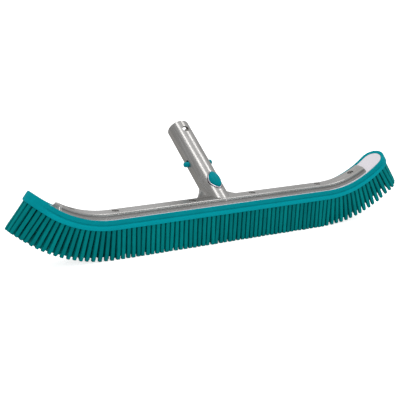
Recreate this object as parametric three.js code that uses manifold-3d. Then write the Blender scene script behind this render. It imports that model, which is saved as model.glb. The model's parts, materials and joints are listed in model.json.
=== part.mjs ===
// Curved pool wall brush with moulded rubber fingers and a clip handle.
// Millimetres, +Z up. The origin lies under the middle of the head, on the finger tips.
// The head runs along X and its ends curve up; the handle leans towards +Y.
// Heights inside the head are measured from the top of the core plate, square to the curve.

import * as THREE from "three";
import { mergeVertices } from "three/addons/utils/BufferGeometryUtils.js";
import Module from "manifold-3d";

// Line of the curved back
const headHalfLength = 262;
const flatHalfLength = 153;
const bendRadius = 133;
const bendAngleDegrees = 37.3;

// Gaps and overruns
const seatGap = 0.3;
const slideGap = 0.4;
const overrun = 2;
const farReach = 400;

// Rubber rim
const rimHalfWidth = 19;
const rimHeight = 11.1;
const rimLipRise = 1.2;
const rimTopInset = 0.8;
const rimEdgeRound = 1.2;
const rimGrooveHeight = 4.75;
const rimGrooveDepth = 0.9;
const rimGrooveHalfWidth = 0.7;
const rimBulge = 0.5;
const rimWall = 1.7;

// Core plate
const coreHalfWidth = 14.2;
const coreThickness = 3;
const coreFlangeReach = 1.9;
const coreFlangeThickness = 1.5;
const coreBossRadius = 4.2;
const coreBossLength = 5.3;

// Finger pad
const padThickness = 6.8;
const padMembrane = 1.5;
const fingerReach = 37.1;
const fingerBaseSide = 4.3;
const fingerTipSide = 4.1;
const fingerPitch = 6.4;
const fingerEndPitch = 5.9;
const fingerRootDepth = 1;
const fingerTipCut = 0.5;
const outerRowOffset = 14.7;
const sliceRowsBeforeBend = 4;
const innerRowOffset = 7.2;

// Cast back bar
const barHalfLength = 225;
const barTopHeight = 6.2;
const barTopHalfWidth = 8.7;
const barBaseHalfWidth = 12;
const barEdgeRound = 1.5;
const barCornerRound = 4;
const barRoof = 2.5;
const barSideWall = 2;
const barEndWall = 6;
const barBossRadius = 5.8;
const barBossLift = 0.2;

// Screws that hold the bar to the core plate
const screwStationShares = [0.19413, 0.65289, 0.9152];
const screwHeadRadius = 3.8;
const screwHeadHeight = 2.3;
const screwHeadDish = 0.6;
const screwHeadFlatShare = 0.6;
const screwShankRadius = 1.9;
const screwLength = 11.4;
const screwPointLength = 2.4;
const screwRecessLength = 4.6;
const screwRecessWidth = 1;
const screwRecessDepth = 1.3;
const screwSinkDepth = 0.3;

// Tubular handle, measured along its own axis from the plane of the bar's top
const handleLeanDegrees = 56.8;
const handleSetback = 20.5;
const tubeRadius = 14.5;
const tubeWall = 2.4;
const tubeLength = 113;
const tubeHoleRadius = 4.5;
const tubeHoleFromEnd = 15;

// Foot that blends the handle into the bar: a web behind the bar that narrows from the foot's two tips to
// the tube, and above it a hollow that runs up to an oval inside the tube
const footDrop = 4.4;
const footEdgeDrop = 2.4;
const footHeight = 3;
const footHalfWidth = 36;
const footTipSetback = 5;
const footFrontReach = 7.5;
const footBackSetback = 36;
const footBackHalfWidth = 12;
const footSweepExponent = 1.05;
const footFrontExponent = 1.2;
const footOvalSetback = 27;
const footOvalDepth = 18;

// Release button and its bezel
const buttonStation = 8.5;
const buttonHalfLength = 12.5;
const buttonHalfWidth = 7.2;
const buttonCrown = 4.8;
const buttonEdgeDrop = 3.4;
const buttonTipDrop = 2.6;
const buttonDomeDepth = 12;
const buttonUnderside = 8.4;
const buttonTravel = 4.5;
const buttonTabHalfWidth = 3;
const buttonTabReach = 1.7;
const buttonTabThickness = 2.2;
const bezelWidth = 1.3;
const bezelRise = 1.2;
const bezelSeatDepth = 1.4;

// Spring clip with the two locking pins
const pinStation = 49.5;
const pinRadius = 3.5;
const pinReach = 6;
const pinTipRound = 1.5;
const pinBossRadius = 4;
const pinBossLength = 3.2;
const clipHingeStation = 6.5;
const clipHingeOffset = 3.2;
const clipArmEndOffset = 8.8;
const clipArmThickness = 2.8;
const clipArmTop = 1.5;
const clipArmBottom = 3;
const clipArmOvershoot = 1.5;
const clipHeelLength = 6;
const clipHeelTop = 1.5;
const prongStation = 17;
const prongLength = 4;
const prongOuterOffset = 8;
const prongTipHeight = 0.2;
const prongBridgeThickness = 2.1;

// How finely the curves are drawn
const bendSteps = 8;
const endSteps = 8;
const endTurnShare = 0.97;
const cornerSteps = 4;
const tubeSides = 32;
const footSteps = 5;
const footSideSteps = 16;
const footRearShare = 0.6;
const edgeSteps = 3;
const screwSides = 14;
const pinSides = 16;
const outlineSteps = 8;
const domeSides = 24;
const fingerSides = 4;

const wasm = await Module();
wasm.setup();

const bendAngle = THREE.MathUtils.degToRad(bendAngleDegrees);
const bendLength = bendRadius * bendAngle;
const bendEnd = flatHalfLength + bendLength;
const endCentre = headHalfLength - rimHalfWidth;
const tipDrop = rimHeight + fingerReach;
const padTop = -(coreThickness + seatGap);
const padBottom = padTop - padThickness;
const barBase = seatGap;
const roofHeight = barTopHeight - barRoof;
const boreRadius = tubeRadius - tubeWall;
const tilt = Math.PI / 2 - THREE.MathUtils.degToRad(handleLeanDegrees);

const castAluminium = new THREE.MeshStandardMaterial({ color: 0xa6a6a6, roughness: 0.42, metalness: 1 });
const brightMetal = new THREE.MeshStandardMaterial({ color: 0xdad8de, roughness: 0.2, metalness: 1 });
const screwSteel = new THREE.MeshStandardMaterial({ color: 0x9a9a98, roughness: 0.35, metalness: 1 });
const palePlastic = new THREE.MeshStandardMaterial({ color: 0xe4e0e4, roughness: 0.45, metalness: 0 });
const tealRubber = new THREE.MeshStandardMaterial({ color: 0x058a8e, roughness: 0.55, metalness: 0 });
const tealPlastic = new THREE.MeshStandardMaterial({ color: 0x068c96, roughness: 0.3, metalness: 0 });

// Solids and meshes

function closedGeometry(points, triangles) {
  const geometry = new THREE.BufferGeometry();
  const numbers = points.flatMap((point) => point.toArray());
  geometry.setAttribute("position", new THREE.Float32BufferAttribute(numbers, 3));
  geometry.setIndex(triangles.flat());
  return geometry;
}

function signedVolume(positions, index) {
  const a = new THREE.Vector3();
  const b = new THREE.Vector3();
  const c = new THREE.Vector3();
  let volume = 0;
  for (let i = 0; i < index.length; i += 3) {
    a.fromArray(positions, 3 * index[i]);
    b.fromArray(positions, 3 * index[i + 1]);
    c.fromArray(positions, 3 * index[i + 2]);
    volume += a.dot(b.cross(c)) / 6;
  }
  return volume;
}

function solid(source, matrix = new THREE.Matrix4()) {
  const geometry = source.clone();
  geometry.deleteAttribute("normal");
  geometry.deleteAttribute("uv");
  const merged = mergeVertices(geometry);
  merged.applyMatrix4(matrix);
  const vertProperties = new Float32Array(merged.attributes.position.array);
  const triVerts = new Uint32Array(merged.index.array);
  if (signedVolume(vertProperties, triVerts) < 0) {
    for (let i = 0; i < triVerts.length; i += 3) {
      [triVerts[i + 1], triVerts[i + 2]] = [triVerts[i + 2], triVerts[i + 1]];
    }
  }
  return new wasm.Manifold(new wasm.Mesh({ numProp: 3, vertProperties, triVerts }));
}

function joined(solids) {
  return solids.reduce((whole, piece) => whole.add(piece));
}

function meshOf(name, body, material) {
  const { vertProperties, triVerts } = body.getMesh();
  const geometry = new THREE.BufferGeometry();
  geometry.setAttribute("position", new THREE.Float32BufferAttribute(vertProperties, 3));
  geometry.setIndex([...triVerts]);
  geometry.computeVertexNormals();
  const mesh = new THREE.Mesh(geometry, material);
  mesh.name = name;
  return mesh;
}

function moved(x, y, z) {
  return new THREE.Matrix4().makeTranslation(x, y, z);
}

function upright(geometry) {
  return geometry.rotateX(Math.PI / 2);
}

// Round post square to the curved back at station s, between two heights

function standing(radius, from, to, s) {
  const post = upright(new THREE.CylinderGeometry(radius, radius, to - from, screwSides));
  return solid(post, frameAt(s).multiply(moved(0, 0, (from + to) / 2)));
}

function box(width, depth, height, x, y, z) {
  return solid(new THREE.BoxGeometry(width, depth, height), moved(x, y, z));
}

// Rings of points joined into one closed skin: the last ring meets the first, or each end is capped
// by rungs between the points that face each other

function loft(rings, looped = false) {
  const count = rings[0].length;
  const triangles = [];
  const spans = looped ? rings.length : rings.length - 1;
  for (let i = 0; i < spans; i += 1) {
    const here = i * count;
    const next = ((i + 1) % rings.length) * count;
    for (let k = 0; k < count; k += 1) {
      const turn = (k + 1) % count;
      triangles.push([here + k, next + k, next + turn], [here + k, next + turn, here + turn]);
    }
  }
  if (!looped) {
    const last = (rings.length - 1) * count;
    for (let k = 0; k < count / 2 - 1; k += 1) {
      const [a, b, c, d] = [k, k + 1, count - 2 - k, count - 1 - k];
      triangles.push([a, b, d], [b, c, d]);
      triangles.push([last + a, last + d, last + b], [last + b, last + d, last + c]);
    }
  }
  return closedGeometry(rings.flat(), triangles);
}

// The curved back: distance s along it, y across it and h above the core plate's top

function slopeAt(s) {
  const past = THREE.MathUtils.clamp(Math.abs(s) - flatHalfLength, 0, bendLength);
  return (Math.sign(s) * past) / bendRadius;
}

function onCurve(s, y, h) {
  const side = Math.sign(s) || 1;
  const along = Math.abs(s);
  const slope = Math.abs(slopeAt(s));
  const tail = Math.max(0, along - bendEnd);
  const x = Math.min(along, flatHalfLength) + bendRadius * Math.sin(slope) + tail * Math.cos(slope);
  const z = bendRadius * (1 - Math.cos(slope)) + tail * Math.sin(slope);
  return new THREE.Vector3(side * (x - h * Math.sin(slope)), y, z + h * Math.cos(slope));
}

function frameAt(s, y = 0) {
  const turn = new THREE.Matrix4().makeRotationY(-slopeAt(s));
  return turn.setPosition(onCurve(s, y, 0));
}

function stationsBetween(from, to) {
  const inner = [];
  for (let i = 0; i <= bendSteps; i += 1) {
    const s = flatHalfLength + (bendLength * i) / bendSteps;
    inner.push(s, -s);
  }
  const kept = inner.filter((s) => s > from + seatGap && s < to - seatGap);
  return [from, ...kept.sort((a, b) => a - b), to];
}

// A bent plate whose ends are flat or round in plan; its half outline lists half widths and heights

function bentPlate(outline, from, to, roundFrom, roundTo) {
  const rings = [];
  const ring = (s, sine, cosine) => {
    const right = outline.map(([width, h]) => onCurve(s + width * sine, width * cosine, h));
    const left = outline.map(([width, h]) => onCurve(s + width * sine, -width * cosine, h));
    rings.push([...right, ...left.reverse()]);
  };
  const roundAngles = [];
  for (let i = 1; i <= endSteps; i += 1) {
    roundAngles.push((i / endSteps) * endTurnShare * (Math.PI / 2));
  }
  if (roundFrom) {
    [...roundAngles].reverse().forEach((angle) => ring(from, -Math.sin(angle), Math.cos(angle)));
  }
  stationsBetween(from, to).forEach((s) => ring(s, 0, 1));
  if (roundTo) {
    roundAngles.forEach((angle) => ring(to, Math.sin(angle), Math.cos(angle)));
  }
  return solid(loft(rings));
}

// A bent ring that runs round both ends; its section lists distances from the middle line and heights

function bentRing(section) {
  const rings = [];
  const ring = (s, sine, cosine) => {
    rings.push(section.map(([width, h]) => onCurve(s + width * sine, width * cosine, h)));
  };
  const run = stationsBetween(-endCentre, endCentre);
  const roundEnd = (s, start) => {
    for (let i = 1; i < 2 * endSteps; i += 1) {
      const angle = start + (Math.PI * i) / (2 * endSteps);
      ring(s, Math.sin(angle), Math.cos(angle));
    }
  };
  run.forEach((s) => ring(s, 0, 1));
  roundEnd(endCentre, 0);
  [...run].reverse().forEach((s) => ring(s, 0, -1));
  roundEnd(-endCentre, Math.PI);
  return solid(loft(rings, true));
}

function roundedEdge(width, height, radius, steps) {
  const points = [];
  for (let i = 0; i <= steps; i += 1) {
    const angle = (Math.PI / 2) * (i / steps);
    points.push([width - radius + radius * Math.sin(angle), height - radius + radius * Math.cos(angle)]);
  }
  return points;
}

// Core plate: the pale plastic plate under the bar, with a flange in the rim's groove and screw bosses

const flangeHalfWidth = coreHalfWidth + coreFlangeReach;
const flangeTop = -(coreThickness - coreFlangeThickness);
const screwStations = screwStationShares
  .map((share) => share * barHalfLength)
  .flatMap((s) => [-s, s])
  .sort((a, b) => a - b);

function corePlate() {
  const outline = [
    [coreHalfWidth, 0],
    [coreHalfWidth, flangeTop],
    [flangeHalfWidth, flangeTop],
    [flangeHalfWidth, -coreThickness],
  ];
  let plate = bentPlate(outline, -endCentre, endCentre, true, true);
  const bossHeight = coreThickness + coreBossLength;
  const holeRadius = screwShankRadius + seatGap;
  for (const s of screwStations) {
    const bossTop = -coreThickness / 2;
    plate = plate.add(standing(coreBossRadius, -bossHeight, bossTop, s));
    plate = plate.subtract(standing(holeRadius, -bossHeight - overrun, overrun, s));
  }
  return meshOf("core_plate", plate, palePlastic);
}

// Rubber rim: a band round the core plate with a lip that rises outwards and a groove along its outside

function rubberRim() {
  const topWidth = rimHalfWidth - rimTopInset;
  const lipInner = coreHalfWidth + seatGap;
  const slotInner = flangeHalfWidth + seatGap;
  const wallInner = rimHalfWidth - rimWall;
  const bulgeHeight = (rimHeight + rimGrooveHeight) / 2;
  const section = [
    [lipInner, 0],
    ...roundedEdge(topWidth, rimLipRise, rimEdgeRound, edgeSteps),
    [topWidth + rimBulge, -rimGrooveHeight + rimGrooveHalfWidth],
    [topWidth + rimBulge - rimGrooveDepth, -rimGrooveHeight],
    [rimHalfWidth - rimBulge, -rimGrooveHeight - rimGrooveHalfWidth],
    [rimHalfWidth, -bulgeHeight],
    [rimHalfWidth - rimBulge, -rimHeight + rimEdgeRound / 2],
    [rimHalfWidth - rimEdgeRound, -rimHeight],
    [wallInner, -rimHeight],
    [wallInner, padTop + seatGap],
    [slotInner, padTop + seatGap],
    [slotInner, flangeTop + seatGap],
    [lipInner, flangeTop + seatGap],
  ];
  return meshOf("rubber_rim", bentRing(section), tealRubber);
}

// Finger pads: the rubber backing in three lengths, each with its tapered fingers

const flatRows = Math.round(flatHalfLength / fingerPitch);
const endRows = Math.round((endCentre - flatHalfLength) / fingerEndPitch);
const rowCount = flatRows + endRows;
const flatPitch = flatHalfLength / flatRows;
const endPitch = (endCentre - flatHalfLength) / endRows;
const padHalfWidth = rimHalfWidth - rimWall - seatGap;
const sliceRow = flatRows - sliceRowsBeforeBend;
const sliceStation = rowStation(sliceRow + 1);
const stepStation = rowStation(sliceRow + 1.5);

function rowStation(row) {
  const onFlat = Math.min(Math.abs(row), flatRows);
  const onEnd = Math.abs(row) - onFlat;
  return Math.sign(row) * (onFlat * flatPitch + onEnd * endPitch);
}

function fingerPlaces() {
  const places = [];
  const both = (s, y, turn = 0) => places.push({ s, y, turn }, { s: -s, y, turn: -turn });
  for (let row = -rowCount; row <= rowCount; row += 1) {
    [0, innerRowOffset, -innerRowOffset].forEach((y) => places.push({ s: rowStation(row), y, turn: 0 }));
  }
  for (let row = 0.5; row < rowCount; row += 1) {
    both(rowStation(row), outerRowOffset);
    both(rowStation(row), -outerRowOffset);
  }
  const outerCount = Math.round((Math.PI * outerRowOffset) / endPitch);
  const innerCount = Math.round((Math.PI * innerRowOffset) / endPitch);
  for (let i = 0; i < outerCount; i += 1) {
    const angle = (Math.PI * (i + 0.5)) / outerCount;
    both(endCentre + outerRowOffset * Math.sin(angle), outerRowOffset * Math.cos(angle), angle);
  }
  for (let i = 1; i < innerCount; i += 1) {
    const angle = (Math.PI * i) / innerCount;
    both(endCentre + innerRowOffset * Math.sin(angle), innerRowOffset * Math.cos(angle), angle);
  }
  return places;
}

function finger({ s, y, turn }) {
  const length = tipDrop + fingerTipCut + padBottom + fingerRootDepth;
  const corner = Math.SQRT2;
  const [base, tip] = [fingerBaseSide / corner, fingerTipSide / corner];
  const shape = new THREE.CylinderGeometry(base, tip, length, fingerSides);
  const middle = padBottom + fingerRootDepth - length / 2;
  upright(shape.rotateY(Math.PI / 4 - turn));
  return solid(shape, frameAt(s, y).multiply(moved(0, 0, middle)));
}

function stepBlocks(side, grow) {
  const reach = stepStation - sliceStation + overrun;
  const middle = side * (stepStation - reach / 2 - grow);
  const height = padBottom + padThickness / 2;
  const width = 2 * (innerRowOffset + fingerPitch / 2 - grow);
  return [box(reach, width, padThickness, middle, 0, height)];
}

function fingerPad(name, from, to, roundFrom, roundTo, keepPlace) {
  const outline = [[padHalfWidth, padTop], [padHalfWidth, padBottom]];
  let pad = bentPlate(outline, from, to, roundFrom, roundTo);
  if (!roundFrom && !roundTo) {
    pad = joined([pad, ...stepBlocks(1, seatGap / 2), ...stepBlocks(-1, seatGap / 2)]);
  } else {
    const side = roundTo ? 1 : -1;
    stepBlocks(side, -seatGap / 2).forEach((block) => {
      pad = pad.subtract(block);
    });
  }
  const pocketRadius = coreBossRadius + seatGap;
  const first = roundFrom ? from - padHalfWidth : from;
  const last = roundTo ? to + padHalfWidth : to;
  screwStations.filter((s) => s > first && s < last).forEach((s) => {
    pad = pad.subtract(standing(pocketRadius, padBottom + padMembrane, padTop + overrun, s));
  });
  const fingers = fingerPlaces().filter(keepPlace).map(finger);
  pad = joined([pad, ...fingers]);
  const floor = box(2 * farReach, farReach, farReach, 0, 0, -tipDrop - farReach / 2);
  return meshOf(name, pad.subtract(floor), tealRubber);
}

function fingerPads() {
  const inBlock = (y) => Math.abs(y) < innerRowOffset + fingerPitch / 2;
  const limit = (y) => (inBlock(y) ? stepStation : sliceStation);
  const half = seatGap / 2;
  const inner = sliceStation - half;
  const outer = sliceStation + half;
  const onLeft = ({ s, y }) => s < -limit(y);
  const inMiddle = ({ s, y }) => Math.abs(s) < limit(y);
  const onRight = ({ s, y }) => s > limit(y);
  return [
    fingerPad("finger_pad_left", -endCentre, -outer, true, false, onLeft),
    fingerPad("finger_pad_middle", -inner, inner, false, false, inMiddle),
    fingerPad("finger_pad_right", outer, endCentre, false, true, onRight),
  ];
}

// Handle frame: X across, Y up the handle's axis, Z out of its front

const handlePlace = new THREE.Matrix4().makeRotationX(tilt).setPosition(0, handleSetback, barTopHeight);

function inHandle(geometry, x = 0, y = 0, z = 0) {
  return solid(geometry, handlePlace.clone().multiply(moved(x, y, z)));
}

function tubeRound(radius, from, to) {
  const shape = new THREE.CylinderGeometry(radius, radius, to - from, tubeSides);
  return shape.translate(0, (from + to) / 2, 0);
}

const rootReach = tubeRadius / Math.tan(tilt) + footDrop / Math.sin(tilt) + overrun;
const armSpan = pinStation - clipHingeStation;
const pinTip = tubeRadius + pinReach;
const pinSwing = Math.asin(pinReach / armSpan);
const pinSlotExtra = (pinTip - clipHingeOffset) * Math.sin(pinSwing) - armSpan * (1 - Math.cos(pinSwing));

// Pointed oval of the button, grown outwards by the given amount

const almondRadius = (buttonHalfLength ** 2 + buttonHalfWidth ** 2) / (2 * buttonHalfWidth);
const almondCentre = almondRadius - buttonHalfWidth;

function almond(grow, height) {
  const radius = almondRadius + grow;
  const spread = Math.acos(almondCentre / radius);
  const points = [];
  for (const side of [1, -1]) {
    for (let i = 0; i < outlineSteps; i += 1) {
      const angle = spread * ((2 * i) / outlineSteps - 1);
      const x = radius * Math.cos(angle) - almondCentre;
      points.push(new THREE.Vector2(side * x, side * radius * Math.sin(angle)));
    }
  }
  const settings = { depth: height, bevelEnabled: false };
  return new THREE.ExtrudeGeometry(new THREE.Shape(points), settings).translate(0, buttonStation, 0);
}

function slotShape(radius, extra) {
  const shape = new THREE.Shape();
  shape.absarc(extra, 0, radius, -Math.PI / 2, Math.PI / 2, false);
  shape.absarc(0, 0, radius, Math.PI / 2, (3 * Math.PI) / 2, false);
  return shape;
}

// Cast back bar and handle in one piece

function barShell() {
  const outline = [
    ...roundedEdge(barTopHalfWidth, barTopHeight, barEdgeRound, edgeSteps),
    [barBaseHalfWidth, barBase],
  ];
  const rings = [];
  const ring = (s, inset) => {
    const right = outline.map(([width, h]) => onCurve(s, width - inset, h));
    const left = outline.map(([width, h]) => onCurve(s, inset - width, h));
    rings.push([...right, ...left.reverse()]);
  };
  const corner = (side, angle) => {
    const s = side * (barHalfLength - barCornerRound * (1 - Math.sin(angle)));
    ring(s, barCornerRound * (1 - Math.cos(angle)));
  };
  const cornerAngles = [];
  for (let i = 1; i <= cornerSteps; i += 1) {
    cornerAngles.push((Math.PI / 2) * (i / cornerSteps));
  }
  const cornerStart = barHalfLength - barCornerRound;
  [...cornerAngles].reverse().forEach((angle) => corner(-1, angle));
  stationsBetween(-cornerStart, cornerStart).forEach((s) => ring(s, 0));
  cornerAngles.forEach((angle) => corner(1, angle));
  return solid(loft(rings));
}

function barChannel() {
  const taper = (barBaseHalfWidth - barTopHalfWidth) / (barTopHeight - barEdgeRound - barBase);
  const channelHalf = barBaseHalfWidth - barSideWall;
  const channel = [
    [channelHalf - taper * (roofHeight - barBase), roofHeight],
    [channelHalf + taper * overrun, barBase - overrun],
  ];
  const channelEnd = barHalfLength - barEndWall;
  return bentPlate(channel, -channelEnd, channelEnd, false, false);
}

// One side of the foot's outline, as [half width, y] from its back edge over its tip to its front

function footOutline() {
  const points = [];
  for (let i = 0; i <= footSideSteps; i += 1) {
    const share = i / footSideSteps;
    if (share < footRearShare) {
      const past = share / footRearShare;
      const y = footBackSetback + (footTipSetback - footBackSetback) * past;
      points.push([footBackHalfWidth + (footHalfWidth - footBackHalfWidth) * past ** footSweepExponent, y]);
    } else {
      const left = (1 - share) / (1 - footRearShare);
      const reach = footTipSetback + footFrontReach;
      points.push([footHalfWidth * left, reach * left ** footFrontExponent - footFrontReach]);
    }
  }
  return points;
}

function flaredFoot() {
  const outline = footOutline();
  const ovalHalfWidth = tubeRadius - seatGap;
  const oval = outline.map((point, i) => {
    const turn = (Math.PI * i) / footSideSteps;
    return [ovalHalfWidth * Math.sin(turn), footOvalSetback + footOvalDepth * Math.cos(turn)];
  });
  const ringAt = (spread, height) => {
    const side = outline.map(([width, y], i) => [
      oval[i][0] + (width - oval[i][0]) * spread,
      oval[i][1] + (y - oval[i][1]) * spread,
    ]);
    const left = side.slice(spread > 0 ? 0 : 1, -1).reverse();
    const around = [...side, ...left.map(([width, y]) => [-width, y])];
    return around.map(([x, y]) => new THREE.Vector3(x, y, barTopHeight + height));
  };
  const rings = [ringAt(1, -footDrop)];
  for (let i = 0; i < footSteps; i += 1) {
    const angle = (Math.PI / 2) * (1 - i / footSteps);
    const height = (footHeight + footEdgeDrop) * (1 - Math.sin(angle)) - footEdgeDrop;
    rings.push(ringAt(1 - Math.cos(angle), height));
  }
  return solid(loft(rings));
}

function aboveHeight(height) {
  return box(2 * farReach, 2 * farReach, farReach, 0, 0, height + farReach / 2);
}

function handleCuts() {
  const reach = tubeRadius + overrun;
  const bore = inHandle(tubeRound(boreRadius, -rootReach, tubeLength + overrun));
  const windowGrow = slideGap + seatGap / 2;
  const window = inHandle(almond(windowGrow, reach));
  const seat = inHandle(almond(slideGap + bezelWidth + seatGap, reach));
  const seatCore = inHandle(tubeRound(tubeRadius - bezelSeatDepth, -rootReach, tubeLength));
  const hole = upright(new THREE.CylinderGeometry(tubeHoleRadius, tubeHoleRadius, reach, pinSides));
  const holePlace = [0, tubeLength - tubeHoleFromEnd, reach / 2];
  const slotRadius = pinRadius + slideGap;
  const settings = { depth: 2 * reach, bevelEnabled: false, curveSegments: pinSides / 2 };
  const slot = new THREE.ExtrudeGeometry(slotShape(slotRadius, pinSlotExtra), settings);
  slot.rotateX(Math.PI / 2).rotateZ(Math.PI / 2);
  return joined([
    bore.intersect(aboveHeight(barTopHeight)),
    window,
    seat.subtract(seatCore),
    inHandle(hole, ...holePlace),
    inHandle(slot, -reach, pinStation),
  ]);
}

function backBarAndHandle() {
  const tube = inHandle(tubeRound(tubeRadius, -rootReach, tubeLength)).intersect(aboveHeight(roofHeight));
  const shell = joined([barShell(), tube, flaredFoot()]).subtract(barChannel());
  const bossFrom = barBase + barBossLift;
  const bossTo = barTopHeight - barRoof / 2;
  const bosses = screwStations.map((s) => standing(barBossRadius, bossFrom, bossTo, s));
  const sinkRadius = screwHeadRadius + seatGap;
  const sinkFrom = barTopHeight - screwSinkDepth - screwHeadHeight - seatGap;
  const holeRadius = screwShankRadius + seatGap;
  let body = joined([shell, ...bosses]).subtract(handleCuts());
  for (const s of screwStations) {
    body = body.subtract(standing(sinkRadius, sinkFrom, barTopHeight + overrun, s));
    body = body.subtract(standing(holeRadius, -overrun, barTopHeight, s));
  }
  return meshOf("back_bar_and_handle", body, castAluminium);
}

// Screws with a cross recess

function screw(name, s) {
  const headTop = barTopHeight - screwSinkDepth;
  const headUnder = headTop - screwHeadHeight;
  const tip = headUnder - screwLength;
  const profile = [
    [0, tip],
    [screwShankRadius, tip + screwPointLength],
    [screwShankRadius, headUnder],
    [screwHeadRadius, headUnder],
    [screwHeadRadius, headTop - screwHeadDish],
    [screwHeadRadius * screwHeadFlatShare, headTop],
    [0, headTop],
  ].map(([r, z]) => new THREE.Vector2(r, z));
  const shape = upright(new THREE.LatheGeometry(profile, screwSides));
  const place = frameAt(s);
  let body = solid(shape, place);
  const middle = headTop - screwRecessDepth + (screwRecessDepth + overrun) / 2;
  const [long, narrow] = [screwRecessLength, screwRecessWidth];
  for (const [along, across] of [[long, narrow], [narrow, long]]) {
    const arm = new THREE.BoxGeometry(along, across, screwRecessDepth + overrun);
    body = body.subtract(solid(arm, place.clone().multiply(moved(0, 0, middle))));
  }
  return meshOf(name, body, screwSteel);
}

// Bezel: the bright collar let into the tube round the button

function bezel() {
  const tall = tubeRadius + bezelRise + overrun;
  const outer = solid(almond(slideGap + bezelWidth, tall));
  const inner = solid(almond(slideGap, tall + overrun));
  const under = solid(tubeRound(tubeRadius - bezelSeatDepth + seatGap, -rootReach, tubeLength));
  const over = solid(tubeRound(tubeRadius + bezelRise, -rootReach, tubeLength));
  return meshOf("button_bezel", outer.subtract(inner).subtract(under).intersect(over), brightMetal);
}

// Release button: a domed pointed oval with two tabs that keep it in, and two wedges that close the clip

const armSlope = (clipArmEndOffset - clipHingeOffset) / armSpan;
const prongLever = prongStation - clipHingeStation;
const prongTaper = (prongLever * Math.sin(pinSwing)) / buttonTravel;
const prongFace = clipHingeOffset + armSlope * prongLever + clipArmThickness / 2 + slideGap;

function buttonDome() {
  const edgeShare = 1 - buttonEdgeDrop / buttonDomeDepth;
  const tipShare = 1 - buttonTipDrop / buttonDomeDepth;
  const across = buttonHalfWidth / Math.sqrt(1 - edgeShare ** 2);
  const along = buttonHalfLength / Math.sqrt(1 - tipShare ** 2);
  const shape = new THREE.SphereGeometry(1, domeSides, domeSides / 2).rotateX(Math.PI / 2);
  shape.scale(across, along, buttonDomeDepth);
  return solid(shape, moved(0, buttonStation, tubeRadius + buttonCrown - buttonDomeDepth));
}

function buttonProng(side) {
  const faceAt = (z) => side * (prongFace - prongTaper * (z - clipArmTop));
  const top = buttonUnderside;
  const bridge = buttonUnderside - prongBridgeThickness;
  const outline = new THREE.Shape([
    new THREE.Vector2(faceAt(prongTipHeight), prongTipHeight),
    new THREE.Vector2(side * prongOuterOffset, prongTipHeight),
    new THREE.Vector2(side * prongOuterOffset, top),
    new THREE.Vector2(0, top + overrun),
    new THREE.Vector2(0, bridge),
    new THREE.Vector2(faceAt(bridge), bridge),
  ]);
  const shape = new THREE.ExtrudeGeometry(outline, { depth: prongLength, bevelEnabled: false });
  shape.rotateX(Math.PI / 2);
  return solid(shape, moved(0, prongStation + prongLength / 2, 0));
}

function releaseButton() {
  const cap = solid(almond(0, tubeRadius + buttonCrown + overrun)).intersect(buttonDome());
  const belowCap = box(farReach, farReach, farReach, 0, 0, buttonUnderside - farReach / 2);
  const tabLength = 2 * (buttonHalfLength + buttonTabReach);
  const tabs = box(2 * buttonTabHalfWidth, tabLength, tubeRadius, 0, buttonStation, tubeRadius)
    .intersect(solid(tubeRound(boreRadius - slideGap, -rootReach, tubeLength)))
    .subtract(solid(tubeRound(boreRadius - slideGap - buttonTabThickness, -rootReach, tubeLength)));
  const body = cap.subtract(belowCap).add(tabs).add(buttonProng(1)).add(buttonProng(-1));
  return meshOf("release_button", body, tealPlastic);
}

// Clip: a heel bedded in the root of the tube and two arms that carry the locking pins

function clipHeel() {
  const start = clipHingeStation - clipHeelLength;
  const floorAt = (u) => -u * Math.tan(tilt) + seatGap / Math.cos(tilt);
  const outline = new THREE.Shape([
    new THREE.Vector2(start, floorAt(start)),
    new THREE.Vector2(clipHingeStation, floorAt(clipHingeStation)),
    new THREE.Vector2(clipHingeStation, clipHeelTop),
    new THREE.Vector2(start, clipHeelTop),
  ]);
  const shape = new THREE.ExtrudeGeometry(outline, { depth: 2 * tubeRadius, bevelEnabled: false });
  shape.rotateX(Math.PI / 2).rotateZ(Math.PI / 2).translate(-tubeRadius, 0, 0);
  const bore = solid(tubeRound(boreRadius - seatGap, -rootReach, tubeLength));
  return meshOf("clip_heel", solid(shape).intersect(bore), tealPlastic);
}

function clipArm(name, side) {
  const half = clipArmThickness / 2;
  const start = clipHingeStation + seatGap;
  const end = pinStation + pinBossRadius + clipArmOvershoot;
  const centreAt = (u) => clipHingeOffset + armSlope * (u - clipHingeStation);
  const outline = new THREE.Shape([
    new THREE.Vector2(side * (centreAt(start) - half), start),
    new THREE.Vector2(side * (centreAt(end) - half), end),
    new THREE.Vector2(side * (centreAt(end) + half), end),
    new THREE.Vector2(side * (centreAt(start) + half), start),
  ]);
  const height = clipArmTop + clipArmBottom;
  const bar = new THREE.ExtrudeGeometry(outline, { depth: height, bevelEnabled: false });
  const inner = clipArmEndOffset - half;
  const boss = new THREE.CylinderGeometry(pinBossRadius, pinBossRadius, pinBossLength, pinSides);
  boss.rotateZ(Math.PI / 2);
  const profile = [
    [0, inner + half],
    [pinRadius, inner + half],
    ...roundedEdge(pinRadius, pinTip, pinTipRound, edgeSteps).reverse(),
    [0, pinTip],
  ].map(([r, z]) => new THREE.Vector2(r, z));
  const pin = new THREE.LatheGeometry(profile, pinSides).rotateZ((-side * Math.PI) / 2);
  const body = joined([
    solid(bar, moved(0, 0, -clipArmBottom)),
    solid(boss, moved(side * (inner + pinBossLength / 2), pinStation, 0)),
    solid(pin, moved(0, pinStation, 0)),
  ]);
  return meshOf(name, body, tealPlastic);
}

// The whole brush

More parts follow.
